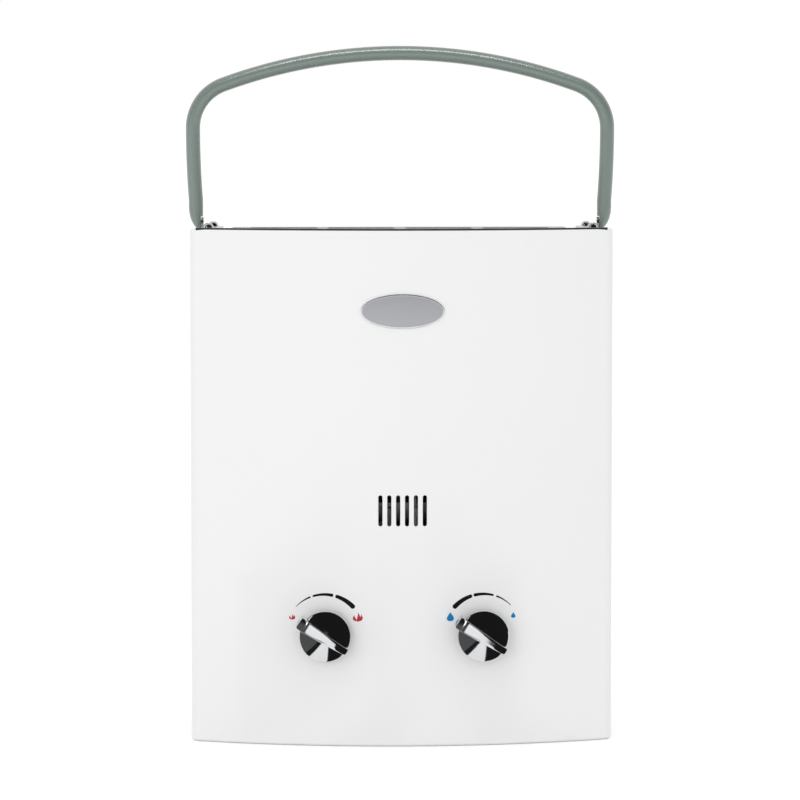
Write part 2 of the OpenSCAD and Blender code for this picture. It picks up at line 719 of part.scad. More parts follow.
module water_valve() {
  color([0.78, 0.62, 0.3]) difference() {
    union() {
      valve_body(water_x, water_body_w);
      translate([water_left - diaphragm_case_t, valve_y, knob_z]) rotate([0, 90, 0])
        cylinder(h = diaphragm_case_t + 1, r = diaphragm_r);
      translate([drain_x, valve_y, floor_z + 2])
        cylinder(h = knob_z - valve_h / 2 - floor_z, r = drain_r + 2.5);
    }
    facing(water_x, valve_front_y - bonnet_l - 1, knob_z)
      cylinder(h = bonnet_l + stem_in + 1 + 0.5, r = stem_r + run_gap);
    translate([water_left - diaphragm_case_t - 1, valve_y, knob_z]) rotate([0, 90, 0])
      cylinder(h = 1 + diaphragm_case_t / 2, r = diaphragm_r - diaphragm_rim);
    translate([inlet_x, valve_y, knob_z - valve_h / 2 - 1]) cylinder(h = 12, r = spigot_bore_r);
    translate([drain_x, valve_y, floor_z - 1]) cylinder(h = knob_z - valve_h / 2 - floor_z + 6, r = 4);
    translate([water_x + water_body_w / 2 - 10, valve_y, outflow_z]) rotate([0, 90, 0])
      cylinder(h = 12, r = tube_r - copper_t);
  }
}

diaphragm_x = water_left - diaphragm_case_t - diaphragm_t;
cover_x = diaphragm_x - diaphragm_case_t;
diaphragm_rim = 6;
// The cover's pocket holds the push rod's disc over its whole travel.
cover_pocket = rod_travel + disc_t + 3 * sheet_gap;

module diaphragm() {
  color([0.1, 0.1, 0.11]) translate([diaphragm_x, valve_y, knob_z]) rotate([0, 90, 0])
    cylinder(h = diaphragm_t, r = diaphragm_r);
}

module diaphragm_cover() {
  neck_l = 12;
  color([0.78, 0.62, 0.3]) difference() {
    union() {
      translate([cover_x, valve_y, knob_z]) rotate([0, 90, 0]) cylinder(h = diaphragm_case_t, r = diaphragm_r);
      translate([cover_x - neck_l, valve_y, knob_z]) rotate([0, 90, 0]) cylinder(h = neck_l + 1, r = 7);
    }
    translate([diaphragm_x - cover_pocket, valve_y, knob_z]) rotate([0, 90, 0])
      cylinder(h = cover_pocket + 1, r = diaphragm_r - diaphragm_rim);
    translate([cover_x - neck_l - 1, valve_y, knob_z]) rotate([0, 90, 0])
      cylinder(h = neck_l + diaphragm_case_t + 2, r = rod_r + run_gap);
  }
}

module diaphragm_screws() {
  color([0.75, 0.75, 0.76]) for (a = [30 : 60 : 330])
    translate([cover_x, valve_y, knob_z]) rotate([a, 0, 0]) translate([0, 0, diaphragm_r - 2.6])
      rotate([0, -90, 0]) cylinder(h = 2.2, r = 2.4);
}

collar_x = (gas_right + cover_x) / 2;
collar_r = 6;
collar_t = 3;

module push_rod() {
  rod_start = seat_x - poppet_t - sheet_gap;
  disc_at = diaphragm_x - sheet_gap - disc_t - rod_start;
  color([0.8, 0.8, 0.8]) translate([rod_start, valve_y, knob_z]) rotate([0, 90, 0]) {
    cylinder(h = poppet_t, r = poppet_r);
    cylinder(h = disc_at, r = rod_r);
    translate([0, 0, disc_at]) cylinder(h = disc_t, r = diaphragm_r / 2);
    translate([0, 0, collar_x - rod_start]) cylinder(h = collar_t, r = collar_r);
  }
}

/* Microswitch: a closed unit on a strap that ties the two valves together, with a hanging lever. */

lever_axis_z = knob_z + 18;
lever_l = lever_axis_z - knob_z - 4;
lever_t = 1;
lever_x = collar_x - sheet_gap - lever_t;
lever_pin_r = 1;

module microswitch() {
  strap_y = valve_y + 9;
  color([0.12, 0.12, 0.13]) {
    translate([gas_right, strap_y, knob_z + 6]) cube([cover_x - gas_right, 1.5, 10]);
    translate([lever_x - 8, valve_y + 3, lever_axis_z - 3]) cube([20, 7.5, 11]);
    translate([lever_x + lever_t / 2, valve_y - 3, lever_axis_z]) rotate([-90, 0, 0])
      cylinder(h = 7, r = lever_pin_r);
  }
}

module switch_lever() {
  color([0.78, 0.78, 0.76]) difference() {
    union() {
      translate([lever_x, valve_y - 2, lever_axis_z - lever_l]) cube([lever_t, 4, lever_l]);
      facing(lever_x + lever_t / 2, valve_y - 2, lever_axis_z) cylinder(h = 4, r = lever_pin_r + 0.9);
    }
    facing(lever_x + lever_t / 2, valve_y - 3, lever_axis_z) cylinder(h = 6, r = lever_pin_r + run_gap);
  }
}

/* Hose fittings */

// A fitting through the bottom plate: a spigot, a hexagon under the plate and a shank above it.
module fitting(x, top) {
  color([0.8, 0.66, 0.34]) difference() {
    union() {
      translate([x, valve_y, skirt_h - hex_h - spigot_l + 1]) cylinder(h = spigot_l, r = spigot_r);
      translate([x, valve_y, skirt_h - hex_h - spigot_l]) cylinder(h = 1, r1 = spigot_r - 1, r2 = spigot_r);
      translate([x, valve_y, skirt_h - hex_h]) cylinder(h = hex_h, r = hex_af / sqrt(3), $fn = 6);
      translate([x, valve_y, skirt_h - 1]) cylinder(h = top - skirt_h + 1, r = spigot_r);
    }
    translate([x, valve_y, skirt_h - hex_h - spigot_l - 1])
      cylinder(h = top - skirt_h + hex_h + spigot_l + 2, r = spigot_bore_r);
  }
}

module gas_inlet() { fitting(gas_x, knob_z - valve_h / 2); }

module water_inlet() { fitting(inlet_x, knob_z - valve_h / 2); }

module water_outlet() { fitting(outlet_x, floor_z + 14); }

module drain_plug() {
  head_l = 12;
  color([0.82, 0.68, 0.36]) {
    difference() {
      translate([drain_x, valve_y, floor_z + 2 - sheet_gap * 5 - head_l])
        cylinder(h = head_l, r = drain_r);
      for (a = [0 : 30 : 330]) translate([drain_x, valve_y, 0]) rotate([0, 0, a])
        translate([drain_r + 0.6, 0, 0]) cylinder(h = floor_z - 2, r = 1.1);
    }
    translate([drain_x, valve_y, floor_z + 2 - sheet_gap * 5 - 1]) cylinder(h = 10, r = 4);
  }
}

module drain_seal() {
  color([0.1, 0.1, 0.11]) translate([drain_x, valve_y, floor_z + 2 - sheet_gap * 5]) difference() {
    cylinder(h = sheet_gap * 5, r = drain_r);
    translate([0, 0, -1]) cylinder(h = 4, r = 4);
  }
}

/* Heat exchanger */

chamber_top = chamber_z + chamber_h;
fin_top = chamber_top + fin_h;
pass_front_y = flue_y - 14;
pass_back_y = flue_y + 14;
pass_low_z = chamber_top + 13;
pass_high_z = chamber_top + 31;
wrap_x = chamber_w / 2 + wrap_gap + tube_r;
wrap_front_y = flue_y - chamber_d / 2 - wrap_gap - tube_r;
wrap_back_y = flue_y + chamber_d / 2 + wrap_gap + tube_r;
wrap_z = chamber_z + 25;
turn_x = wrap_x + 7.5;
outflow_z = knob_z + 6;

// The water's way: up from the valve, twice round the chamber, three times through the fins and
// down to the outlet. One turn climbs by wrap_climb, shared between its four sides.
function wrap_turn(z) = [
  [wrap_x, wrap_back_y, z + wrap_climb * 0.15], [-wrap_x, wrap_back_y, z + wrap_climb * 0.5],
  [-wrap_x, wrap_front_y, z + wrap_climb * 0.65]];
water_path = concat(
  [[water_x + water_body_w / 2, valve_y, outflow_z], [wrap_x, valve_y, outflow_z],
    [wrap_x, valve_y, wrap_z]],
  wrap_turn(wrap_z),
  [[wrap_x, wrap_front_y, wrap_z + wrap_climb]],
  wrap_turn(wrap_z + wrap_climb),
  [[turn_x, wrap_front_y, wrap_z + 2 * wrap_climb], [turn_x, wrap_front_y, pass_low_z],
    [turn_x, pass_front_y, pass_low_z], [-turn_x, pass_front_y, pass_low_z],
    [-turn_x, pass_back_y, pass_low_z], [turn_x, pass_back_y, pass_low_z],
    [turn_x, flue_y, pass_high_z], [outlet_x, flue_y, pass_high_z],
    [outlet_x, valve_y, pass_high_z], [outlet_x, valve_y, floor_z + 14]]);

module water_tube() {
  color([0.78, 0.45, 0.3]) swept_tube(rounded(water_path, tube_bend, 5), tube_r, 12, tube_r - copper_t);
}

// The chamber's corners are drawn round, so that the wrapped tube's bends keep their gap.
chamber_r = tube_bend - tube_r - wrap_gap;

module round_rect(w, d, r) {
  square([w - 2 * r, d], center = true);
  square([w, d - 2 * r], center = true);
  for (x = [-1, 1], y = [-1, 1]) translate([x * (w / 2 - r), y * (d / 2 - r)]) circle(r);
}

module combustion_chamber() {
  color([0.75, 0.44, 0.3]) difference() {
    translate([0, flue_y, chamber_z]) linear_extrude(chamber_h)
      round_rect(chamber_w, chamber_d, chamber_r);
    translate([0, flue_y, chamber_z - 1]) linear_extrude(chamber_h + 2)
      round_rect(chamber_w - 2 * copper_t, chamber_d - 2 * copper_t, chamber_r - copper_t);
    translate([-20, flue_y - chamber_d / 2 - 1, chamber_z - 1]) cube([40, copper_t + 2, 11]);
  }
}

module heat_fins() {
  fin_w = chamber_w - 8;
  step = (fin_w - fin_t) / (fin_n - 1);
  color([0.8, 0.5, 0.34]) for (i = [0 : fin_n - 1])
    translate([i * step - fin_w / 2, 0, 0]) difference() {
      translate([0, flue_y - chamber_d / 2, chamber_top]) cube([fin_t, chamber_d, fin_h]);
      for (p = [[pass_front_y, pass_low_z], [pass_back_y, pass_low_z], [flue_y, pass_high_z]])
        translate([-1, p[0], p[1]]) rotate([0, 90, 0]) cylinder(h = fin_t + 2, r = tube_r);
    }
}

// Sheet hood that gathers the burnt gas above the fins and leads it into the flue.
module flue_collector() {
  t = 1;
  low = fin_top;
  high = top_z - sheet_t;
  color([0.62, 0.62, 0.62]) difference() {
    hull() {
      translate([-chamber_w / 2, flue_y - chamber_d / 2, low]) cube([chamber_w, chamber_d, 1]);
      translate([-flue_hole_w / 2, flue_y - flue_hole_d / 2, high - 1])
        cube([flue_hole_w, flue_hole_d, 1]);
    }
    hull() {
      translate([t - chamber_w / 2, flue_y - chamber_d / 2 + t, low - eps])
        cube([chamber_w - 2 * t, chamber_d - 2 * t, 1]);
      translate([t - flue_hole_w / 2, flue_y - flue_hole_d / 2 + t, high - 1 + eps])
        cube([flue_hole_w - 2 * t, flue_hole_d - 2 * t, 1]);
    }
  }
}

// Two straps that hang the chamber on the back plate, one at each side.
module exchanger_straps() {
  strap_h = 16;
  t = 1.2;
  z = chamber_top - strap_h - 2;
  color([0.66, 0.66, 0.66]) for (side = [0, 1]) mirror([side, 0, 0]) {
    translate([chamber_w / 2, flue_y - 10, z]) cube([t, plate_y - flue_y + 10, strap_h]);
    translate([chamber_w / 2, plate_y - t, z]) cube([14, t, strap_h]);
  }
}

/* Burner */

blade_top = chamber_z - 3;
mixer_z = blade_top - blade_h;
blade_l = chamber_d - 2;
blade_front_y = flue_y - blade_l / 2;
frame_z = blade_top - 16;
mixer_l = 22;
mixer_r = 5;

module burner_blade() {
  head_h = 9;
  color([0.6, 0.6, 0.58]) difference() {
    union() {
      // Pressed web between the mixing tube and the flame head.
      translate([-2, 0, 0]) rotate([90, 0, 90]) linear_extrude(4)
        polygon([[0, mixer_z - 5], [14, mixer_z - 5], [30, mixer_z - 2], [blade_l - 6, mixer_z + 6],
          [blade_l, blade_top - head_h], [0, blade_top - head_h]]);
      translate([-blade_head_w / 2, 0, blade_top - head_h]) cube([blade_head_w, blade_l, head_h]);
      translate([0, 0, mixer_z]) rotate([-90, 0, 0]) cylinder(h = mixer_l, r = mixer_r);
    }
    translate([0, -1, mixer_z]) rotate([-90, 0, 0]) cylinder(h = mixer_l - 4, r = mixer_r - 1);
    for (i = [0 : port_n - 1])
      translate([-blade_head_w / 2 + 1, (i + 0.5) * blade_l / port_n - 0.6, blade_top - 4])
        cube([blade_head_w - 2, 1.2, 5]);
  }
}

module burner_blades() {
  for (i = [0 : blade_n - 1])
    translate([(i - (blade_n - 1) / 2) * blade_pitch, blade_front_y, 0]) burner_blade();
}

module burner_frame() {
  t = 1;
  color([0.66, 0.66, 0.65]) difference() {
    translate([0, flue_y, frame_z]) linear_extrude(chamber_z - frame_z)
      round_rect(chamber_w, chamber_d, chamber_r);
    translate([0, flue_y, frame_z - 1]) linear_extrude(chamber_z - frame_z + 2)
      round_rect(chamber_w - 2 * t, chamber_d - 2 * t, chamber_r - t);
    translate([-20, flue_y - chamber_d / 2 - 1, blade_top]) cube([40, t + 2, 4]);
  }
}

manifold_y = blade_front_y - 20;
manifold_s = 12;

module gas_manifold() {
  l = (blade_n - 1) * blade_pitch + 14;
  color([0.72, 0.72, 0.7]) difference() {
    translate([-l / 2, manifold_y, mixer_z - manifold_s / 2]) cube([l, manifold_s, manifold_s]);
    translate([3 - l / 2, manifold_y + manifold_s / 2, mixer_z]) rotate([0, 90, 0])
      cylinder(h = l - 6, r = 4);
    for (i = [0 : blade_n - 1])
      facing((i - (blade_n - 1) / 2) * blade_pitch, manifold_y + manifold_s / 2, mixer_z)
        cylinder(h = manifold_s, r = 1.5);
    translate([gas_x, manifold_y + manifold_s / 2, mixer_z - manifold_s]) cylinder(h = manifold_s, r = 3.5);
  }
}

module burner_jets() {
  color([0.82, 0.68, 0.36]) for (i = [0 : blade_n - 1])
    facing((i - (blade_n - 1) / 2) * blade_pitch, manifold_y + manifold_s, mixer_z) difference() {
      union() {
        cylinder(h = 3, r = jet_r + 0.6, $fn = 6);
        cylinder(h = 6, r = jet_r);
      }
      translate([0, 0, -1]) cylinder(h = 8, r = 0.8);
    }
}

// A cast elbow block that leads the gas from the valve's top up into the manifold.
module gas_riser() {
  low = knob_z + valve_h / 2;
  high = mixer_z - manifold_s / 2;
  mid_y = manifold_y + manifold_s / 2;
  color([0.7, 0.7, 0.68]) difference() {
    union() {
      translate([gas_x - 12, valve_y - 9, low]) cube([24, 18, 3]);
      translate([gas_x - 8, min(mid_y, valve_y) - 7, low]) cube([16, abs(mid_y - valve_y) + 14, high - low]);
    }
    translate([gas_x, valve_y, low - 1]) cylinder(h = (high - low) / 2 + 1, r = 3.5);
    translate([gas_x, mid_y, low + (high - low) / 2 - 1]) cylinder(h = high - low, r = 3.5);
  }
}

/* Ignition */

probe_y = flue_y - chamber_d / 2 - 4.5;
spark_x = -10;
flame_x = 10;
probe_z = chamber_z - 30;
probe_l = 24;

// A ceramic sleeve clipped to the burner frame, with a wire that bends in over the flames.
module probe(x) {
  color([0.92, 0.91, 0.86]) translate([x, probe_y, probe_z]) cylinder(h = probe_l, r = 3.2);
  color([0.6, 0.6, 0.6]) {
    swept_tube(rounded([[x, probe_y, probe_z + probe_l - 1], [x, probe_y, chamber_z + 3],
      [x, flue_y - 8, chamber_z + 3]], 2, 4), 0.8, 8);
    translate([x - 5, probe_y, probe_z + 8]) cube([10, 4.5, 6]);
  }
}

module spark_electrode() { probe(spark_x); }

module flame_probe() { probe(flame_x); }

igniter_w = 36;
igniter_d = 24;
igniter_h = 58;
igniter_x = half_w - igniter_w - lip_w;
igniter_z = 120;
// The box's two terminals stand out of its front.
terminal_w = 6;
terminal_h = 8;
terminal_l = 3;
terminal_x = [igniter_x + 4, igniter_x + 14];
terminal_z = igniter_z + 6;

module igniter_box() {
  color([0.14, 0.14, 0.15]) {
    translate([igniter_x, plate_y - igniter_d, igniter_z]) cube([igniter_w, igniter_d, igniter_h]);
    for (x = terminal_x) translate([x, plate_y - igniter_d - terminal_l, terminal_z])
      cube([terminal_w, terminal_l + 1, terminal_h]);
  }
}

lead_r = 1.1;
// The leads run in front of the outlet's tube and below the probes.
lead_gap = 0.8;
lead_y = valve_y - tube_r - lead_r - lead_gap;

// Two insulated leads from the igniter box to the probes' lower ends.
module ignition_leads() {
  lead_z = terminal_z + terminal_h / 2;
  for (lead = [[terminal_x[0] + terminal_w / 2, spark_x, 0], [terminal_x[1] + terminal_w / 2, flame_x, 3]])
    color([0.75, 0.12, 0.1]) swept_tube(rounded([
      [lead[0], plate_y - igniter_d - terminal_l, lead_z],
      [lead[0], lead_y, lead_z],
      [lead[1], lead_y, lead_z - lead[2]],
      [lead[1], probe_y, lead_z - lead[2]],
      [lead[1], probe_y, probe_z]], 2, 4), lead_r, 8);
}

/* Battery box */

battery_y = plate_y - sheet_t - battery_box_d;
lid_gap = 0.3;
lid_z = skirt_h - lid_gap - lid_t;
hinge_r = lid_pin_r + 1.3;
hinge_y = battery_y + battery_box_d - hinge_r - 2;
hinge_z = skirt_h - hinge_r - lid_gap;
ear_l = 5;
lid_half_l = battery_box_l / 2 - 1;

module battery_box() {
  color([0.16, 0.16, 0.17]) difference() {
    translate([-battery_box_l / 2, battery_y, floor_z])
      cube([battery_box_l, battery_box_d, battery_box_h]);
    translate([battery_wall - battery_box_l / 2, battery_y + battery_wall, floor_z - 1])
      cube([battery_box_l - 2 * battery_wall, battery_box_d - 2 * battery_wall,
        battery_box_h - battery_wall + 1]);
  }
}

module batteries() {
  color([0.2, 0.35, 0.6]) for (i = [0, 1])
    translate([-battery_l + i * (battery_l + 1) - 1, battery_y + battery_box_d / 2,
      floor_z + battery_box_h - battery_wall - battery_r]) rotate([0, 90, 0]) {
      cylinder(h = battery_l - 1.5, r = battery_r);
      cylinder(h = battery_l, r = 4.5);
    }
}

module battery_contacts() {
  color([0.8, 0.8, 0.78]) for (side = [-1, 1])
    translate([side * (battery_box_l / 2 - battery_wall - 0.25), battery_y + battery_box_d / 2,
      floor_z + battery_box_h - battery_wall - battery_r]) cube([0.5, 14, 20], center = true);
}

// The lid closes the box from below and swings down on its rear hinge.
module battery_lid() {
  color([0.18, 0.18, 0.19]) difference() {
    union() {
      translate([-lid_half_l, battery_y + 1, lid_z]) cube([2 * lid_half_l, hinge_y - battery_y - 1, lid_t]);
      translate([-lid_half_l + ear_l + lid_gap, hinge_y, hinge_z]) rotate([0, 90, 0])
        cylinder(h = 2 * (lid_half_l - ear_l - lid_gap), r = hinge_r);
      for (x = [-30, 30]) translate([x - 6, battery_y + 1, lid_z - 2]) cube([12, 2, 2 + eps]);
    }
    for (side = [-1, 1]) translate([side * lid_half_l, hinge_y, hinge_z])
      cube([2 * (ear_l + lid_gap), 2 * hinge_r + 1, 20], center = true);
    translate([-lid_half_l, hinge_y, hinge_z]) rotate([0, 90, 0])
      cylinder(h = 2 * lid_half_l, r = lid_pin_r + run_gap);
  }
}

module lid_hinge() {
  color([0.78, 0.78, 0.79]) {
    translate([-lid_half_l, hinge_y, hinge_z]) rotate([0, 90, 0]) cylinder(h = 2 * lid_half_l, r = lid_pin_r);
    for (side = [0, 1]) mirror([side, 0, 0]) translate([lid_half_l - ear_l, hinge_y, hinge_z])
      rotate([0, 90, 0]) cylinder(h = ear_l, r = hinge_r);
    for (side = [0, 1]) mirror([side, 0, 0])
      translate([lid_half_l - ear_l, hinge_y - hinge_r, hinge_z]) cube([ear_l, 2 * hinge_r, skirt_h - hinge_z]);
  }
}

front_cover();
back_plate();
top_plate();
bottom_plate();
badge_plate();
cover_screws();
flue_cap();
bail();
left_bracket();
right_bracket();
bail_pivots();
bracket_screws();
gas_knob();
water_knob();
gas_stem();
water_stem();
flue_collector();
heat_fins();
combustion_chamber();
water_tube();
exchanger_straps();
burner_blades();
burner_frame();
gas_manifold();
burner_jets();
gas_riser();
spark_electrode();
flame_probe();
igniter_box();
ignition_leads();
gas_valve();
solenoid();
water_valve();
diaphragm();
diaphragm_cover();
diaphragm_screws();
push_rod();
microswitch();
switch_lever();
gas_inlet();
water_inlet();
water_outlet();
drain_plug();
drain_seal();
battery_box();
batteries();
battery_contacts();
battery_lid();
lid_hinge();
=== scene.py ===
"""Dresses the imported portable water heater: its casing, bail, knobs and fittings, and the stage.

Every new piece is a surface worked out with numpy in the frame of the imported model, in metres:
X runs to the right, the front faces -Y, and Z is up. Points and faces are whole arrays.
"""

import json

import bmesh
import bpy
import numpy as np
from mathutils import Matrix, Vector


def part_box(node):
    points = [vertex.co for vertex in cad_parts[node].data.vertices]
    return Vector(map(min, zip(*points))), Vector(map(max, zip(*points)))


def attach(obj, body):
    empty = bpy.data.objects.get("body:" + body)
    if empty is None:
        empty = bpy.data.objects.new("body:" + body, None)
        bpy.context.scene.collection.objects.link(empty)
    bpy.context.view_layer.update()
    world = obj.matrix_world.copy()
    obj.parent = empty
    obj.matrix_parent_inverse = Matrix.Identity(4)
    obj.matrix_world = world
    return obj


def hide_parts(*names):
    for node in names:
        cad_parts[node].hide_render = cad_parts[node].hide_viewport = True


bl_info = {
    "name": "Portable Water Heater",
    "version": (1, 0, 0),
    "blender": (4, 5, 0),
    "location": "3D View > Sidebar > Heater",
    "description": "Makes the visible pieces of a portable water heater round its packed frame",
    "category": "Object",
}

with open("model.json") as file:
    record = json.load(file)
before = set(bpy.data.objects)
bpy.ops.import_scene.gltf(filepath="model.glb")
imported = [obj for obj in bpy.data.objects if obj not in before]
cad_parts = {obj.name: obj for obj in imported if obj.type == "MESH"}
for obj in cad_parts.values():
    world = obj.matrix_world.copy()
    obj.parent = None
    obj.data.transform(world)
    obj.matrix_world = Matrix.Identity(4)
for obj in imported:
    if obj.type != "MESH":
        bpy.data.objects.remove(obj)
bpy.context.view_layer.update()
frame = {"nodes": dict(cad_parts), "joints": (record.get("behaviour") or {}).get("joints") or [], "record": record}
joint_at = {j["name"]: j.get("pos_m") for j in frame["joints"]}
cover_low, cover_high = (np.array(corner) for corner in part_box("front_cover"))
node_slot = {s["node"]: s["material_slot"] for s in frame["record"]["subparts"]}


def size(name, description, default, low=0.0001):
    """A length property, in metres."""
    return bpy.props.FloatProperty(
        name=name, description=description, default=default, min=low, precision=5,
        subtype="DISTANCE", unit="LENGTH")


def tone(name, description, default):
    """A colour property, in linear values."""
    return bpy.props.FloatVectorProperty(
        name=name, description=description, default=default, size=3, min=0.0, max=1.0, subtype="COLOR")


def number(name, description, default, low=0.0, high=100.0):
    """A plain number property."""
    return bpy.props.FloatProperty(
        name=name, description=description, default=default, min=low, max=high)


def count(name, description, default, low=1, high=512):
    """A whole number property."""
    return bpy.props.IntProperty(name=name, description=description, default=default, min=low, max=high)


def turn(name, description, default):
    """An angle property, in degrees in the panel."""
    return bpy.props.FloatProperty(
        name=name, description=description, default=np.radians(default),
        subtype="ANGLE", unit="ROTATION")


# Surfaces: a pair of an array of points and an array of four-cornered faces.

NUDGE = 1e-6  # Lengths that differ by less are the same
MERGE = 2e-6  # Points nearer than this are merged
TINY = 1e-12  # Added to a length before a division by it
EDGE_SHARE = 0.49  # A rounding takes at most this share of an edge
NEAR_X = 0.9  # An axis whose X is larger than this gets its first side direction from Y


def lattice(rows, cols, closed=False):
    """Faces between neighbouring points of a grid: its rows follow one another, and a closed grid
    joins its last column to its first. They face along column direction times row direction."""
    r = np.arange(rows - 1)[:, None]
    c = np.arange(cols if closed else cols - 1)[None, :]
    a, b = r * cols + c, r * cols + (c + 1) % cols
    return np.stack([a, b, b + cols, a + cols], -1).reshape(-1, 4)


def joined(*surfaces):
    """Several surfaces as one, their points one after another."""
    starts = np.cumsum([0] + [len(points) for points, _ in surfaces[:-1]])
    return (np.concatenate([points for points, _ in surfaces]),
            np.concatenate([faces + start for (_, faces), start in zip(surfaces, starts)]))


def turned(axis):
    """Two directions square to a unit axis, so that the first times the second is the axis."""
    axis = np.asarray(axis, float)
    side = np.array([1.0, 0, 0]) if abs(axis[0]) < NEAR_X else np.array([0, 1.0, 0])
    first = side - axis * (side @ axis)
    first /= np.linalg.norm(first)
    return first, np.cross(axis, first), axis


def revolved(profile, sides, centre, axis):
    """A profile of (radius, height) pairs carried round an axis: centre + r cos t e1 + r sin t e2 +
    h axis. The profile runs from the low middle outwards and up to the high middle."""
    e1, e2, e3 = turned(axis)
    profile = np.asarray(profile, float)
    t = np.linspace(0, 2 * np.pi, sides, endpoint=False)
    ring = np.cos(t)[:, None] * e1 + np.sin(t)[:, None] * e2
    points = profile[:, 0, None, None] * ring + profile[:, 1, None, None] * e3 + np.asarray(centre)
    return points.reshape(-1, 3), lattice(len(profile), sides, closed=True)


def rounded_profile(corners, steps=5):
    """A profile through corners given as (radius, height, rounding): each rounding is a quadratic
    curve between the points that lie that far before and after its corner."""
    p = np.array([c[:2] for c in corners], float)
    out = [p[:1]]
    for i in range(1, len(p) - 1):
        r = corners[i][2]
        if r <= 0:
            out.append(p[i:i + 1])
            continue
        before, after = p[i - 1] - p[i], p[i + 1] - p[i]
        a, b = (p[i] + d / np.linalg.norm(d) * min(r, EDGE_SHARE * np.linalg.norm(d))
                for d in (before, after))
        t = np.linspace(0, 1, steps + 1)[:, None]
        out.append((1 - t) ** 2 * a + 2 * t * (1 - t) * p[i] + t ** 2 * b)
    out.append(p[-1:])
    return np.concatenate(out)


def thickened(points, normals, faces, thickness):
    """A sheet with a wall: a second layer of points lies thickness behind the first along its
    normals, and each open edge gets a face that joins the layers. Also gives a normal per corner."""
    n = len(points)
    edges = np.stack([faces, np.roll(faces, -1, 1)], -1).reshape(-1, 2)
    there = set(map(tuple, edges.tolist()))
    rim = np.array([e for e in edges.tolist() if (e[1], e[0]) not in there])
    walls = np.stack([rim[:, 1], rim[:, 0], rim[:, 0] + n, rim[:, 1] + n], -1)
    both = np.concatenate([points, points - normals * thickness])
    quads = np.concatenate([faces, faces[:, ::-1] + n, walls])
    flat = np.cross(both[walls[:, 1]] - both[walls[:, 0]], both[walls[:, 3]] - both[walls[:, 0]])
    flat /= np.linalg.norm(flat, axis=1, keepdims=True) + TINY
    corner = np.concatenate([
        normals[faces].reshape(-1, 3), -normals[faces[:, ::-1]].reshape(-1, 3), np.repeat(flat, 4, 0)])
    return both, quads, corner


def new_piece(name, surface, body, slot, finish=None, replaces=(), corner_normals=None, sharp=32):
    """A mesh object from a surface, riding on a body. Without normals of its own its doubles are
    merged, and its edges are smooth up to the sharp angle."""
    points, quads = surface
    mesh = bpy.data.meshes.new(name)
    mesh.vertices.add(len(points))
    mesh.vertices.foreach_set("co", points.astype(np.float32).ravel())
    mesh.loops.add(quads.size)
    mesh.loops.foreach_set("vertex_index", quads.astype(np.int32).ravel())
    mesh.polygons.add(len(quads))
    mesh.polygons.foreach_set("loop_start", np.arange(0, quads.size, 4, dtype=np.int32))
    mesh.update(calc_edges=True)
    if corner_normals is None:
        bm = bmesh.new()
        bm.from_mesh(mesh)
        bmesh.ops.remove_doubles(bm, verts=bm.verts, dist=MERGE)
        bm.to_mesh(mesh)
        bm.free()
    mesh.validate()
    mesh.shade_smooth()
    if corner_normals is None:
        mesh.set_sharp_from_angle(angle=np.radians(sharp))
    else:
        mesh.normals_split_custom_set(corner_normals.tolist())
    piece = bpy.data.objects.new(name, mesh)
    bpy.context.scene.collection.objects.link(piece)
    mesh.materials.append(finishes(slot if finish is None else finish))
    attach(piece, body)
    if replaces:
        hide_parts(*replaces)
    return piece


# Finishes.

MIX_A, MIX_B, MIX_RESULT = 6, 7, 2  # The colour sockets of a Mix node


def link(tree, a, b):
    """Joins an output to an input."""
    tree.links.new(a, b)


def group_of(name, inputs, outputs):
    """A new node group with float or vector inputs, and its input and output nodes."""
    tree = bpy.data.node_groups.new(name, "ShaderNodeTree")
    for label, kind, value in inputs:
        socket = tree.interface.new_socket(label, in_out="INPUT", socket_type=kind)
        socket.default_value = value
    for label in outputs:
        tree.interface.new_socket(label, in_out="OUTPUT", socket_type="NodeSocketFloat")
    return tree, tree.nodes.new("NodeGroupInput"), tree.nodes.new("NodeGroupOutput")


def noise(tree, vector, scale, detail=3.0, rough=0.5):
    """A noise texture node on a vector, with its scale from a socket or a number."""
    node = tree.nodes.new("ShaderNodeTexNoise")
    node.inputs["Detail"].default_value = detail
    node.inputs["Roughness"].default_value = rough
    link(tree, vector, node.inputs["Vector"])
    if isinstance(scale, (int, float)):
        node.inputs["Scale"].default_value = scale
    else:
        link(tree, scale, node.inputs["Scale"])
    return node.outputs["Fac"]


def arithmetic(tree, kind, a, b):
    """A Math node on two sockets or numbers."""
    node = tree.nodes.new("ShaderNodeMath")
    node.operation = kind
    for socket, value in zip(node.inputs, (a, b)):
        if isinstance(value, (int, float)):
            socket.default_value = value
        else:
            link(tree, value, socket)
    return node.outputs[0]


def colour_mix(tree, factor, a, b):
    """A Mix node from one colour to another, by a socket."""
    node = tree.nodes.new("ShaderNodeMix")
    node.data_type = "RGBA"
    node.inputs[MIX_A].default_value = (*a, 1)
    node.inputs[MIX_B].default_value = (*b, 1)
    link(tree, factor, node.inputs[0])
    return node.outputs[MIX_RESULT]


def seen_rays(tree):
    """One for rays of the camera, of mirrors and of glass, and zero for all others."""
    rays = tree.nodes.new("ShaderNodeLightPath")
    return arithmetic(tree, "MAXIMUM", rays.outputs["Is Camera Ray"],
                      arithmetic(tree, "MAXIMUM", rays.outputs["Is Glossy Ray"],
                                 rays.outputs["Is Transmission Ray"]))


def stretched(tree, given):
    """Object coordinates times a group's Stretch input."""
    where = tree.nodes.new("ShaderNodeTexCoord")
    times = tree.nodes.new("ShaderNodeVectorMath")
    times.operation = "MULTIPLY"
    link(tree, where.outputs["Object"], times.inputs[0])
    link(tree, given.outputs["Stretch"], times.inputs[1])
    return times.outputs["Vector"]


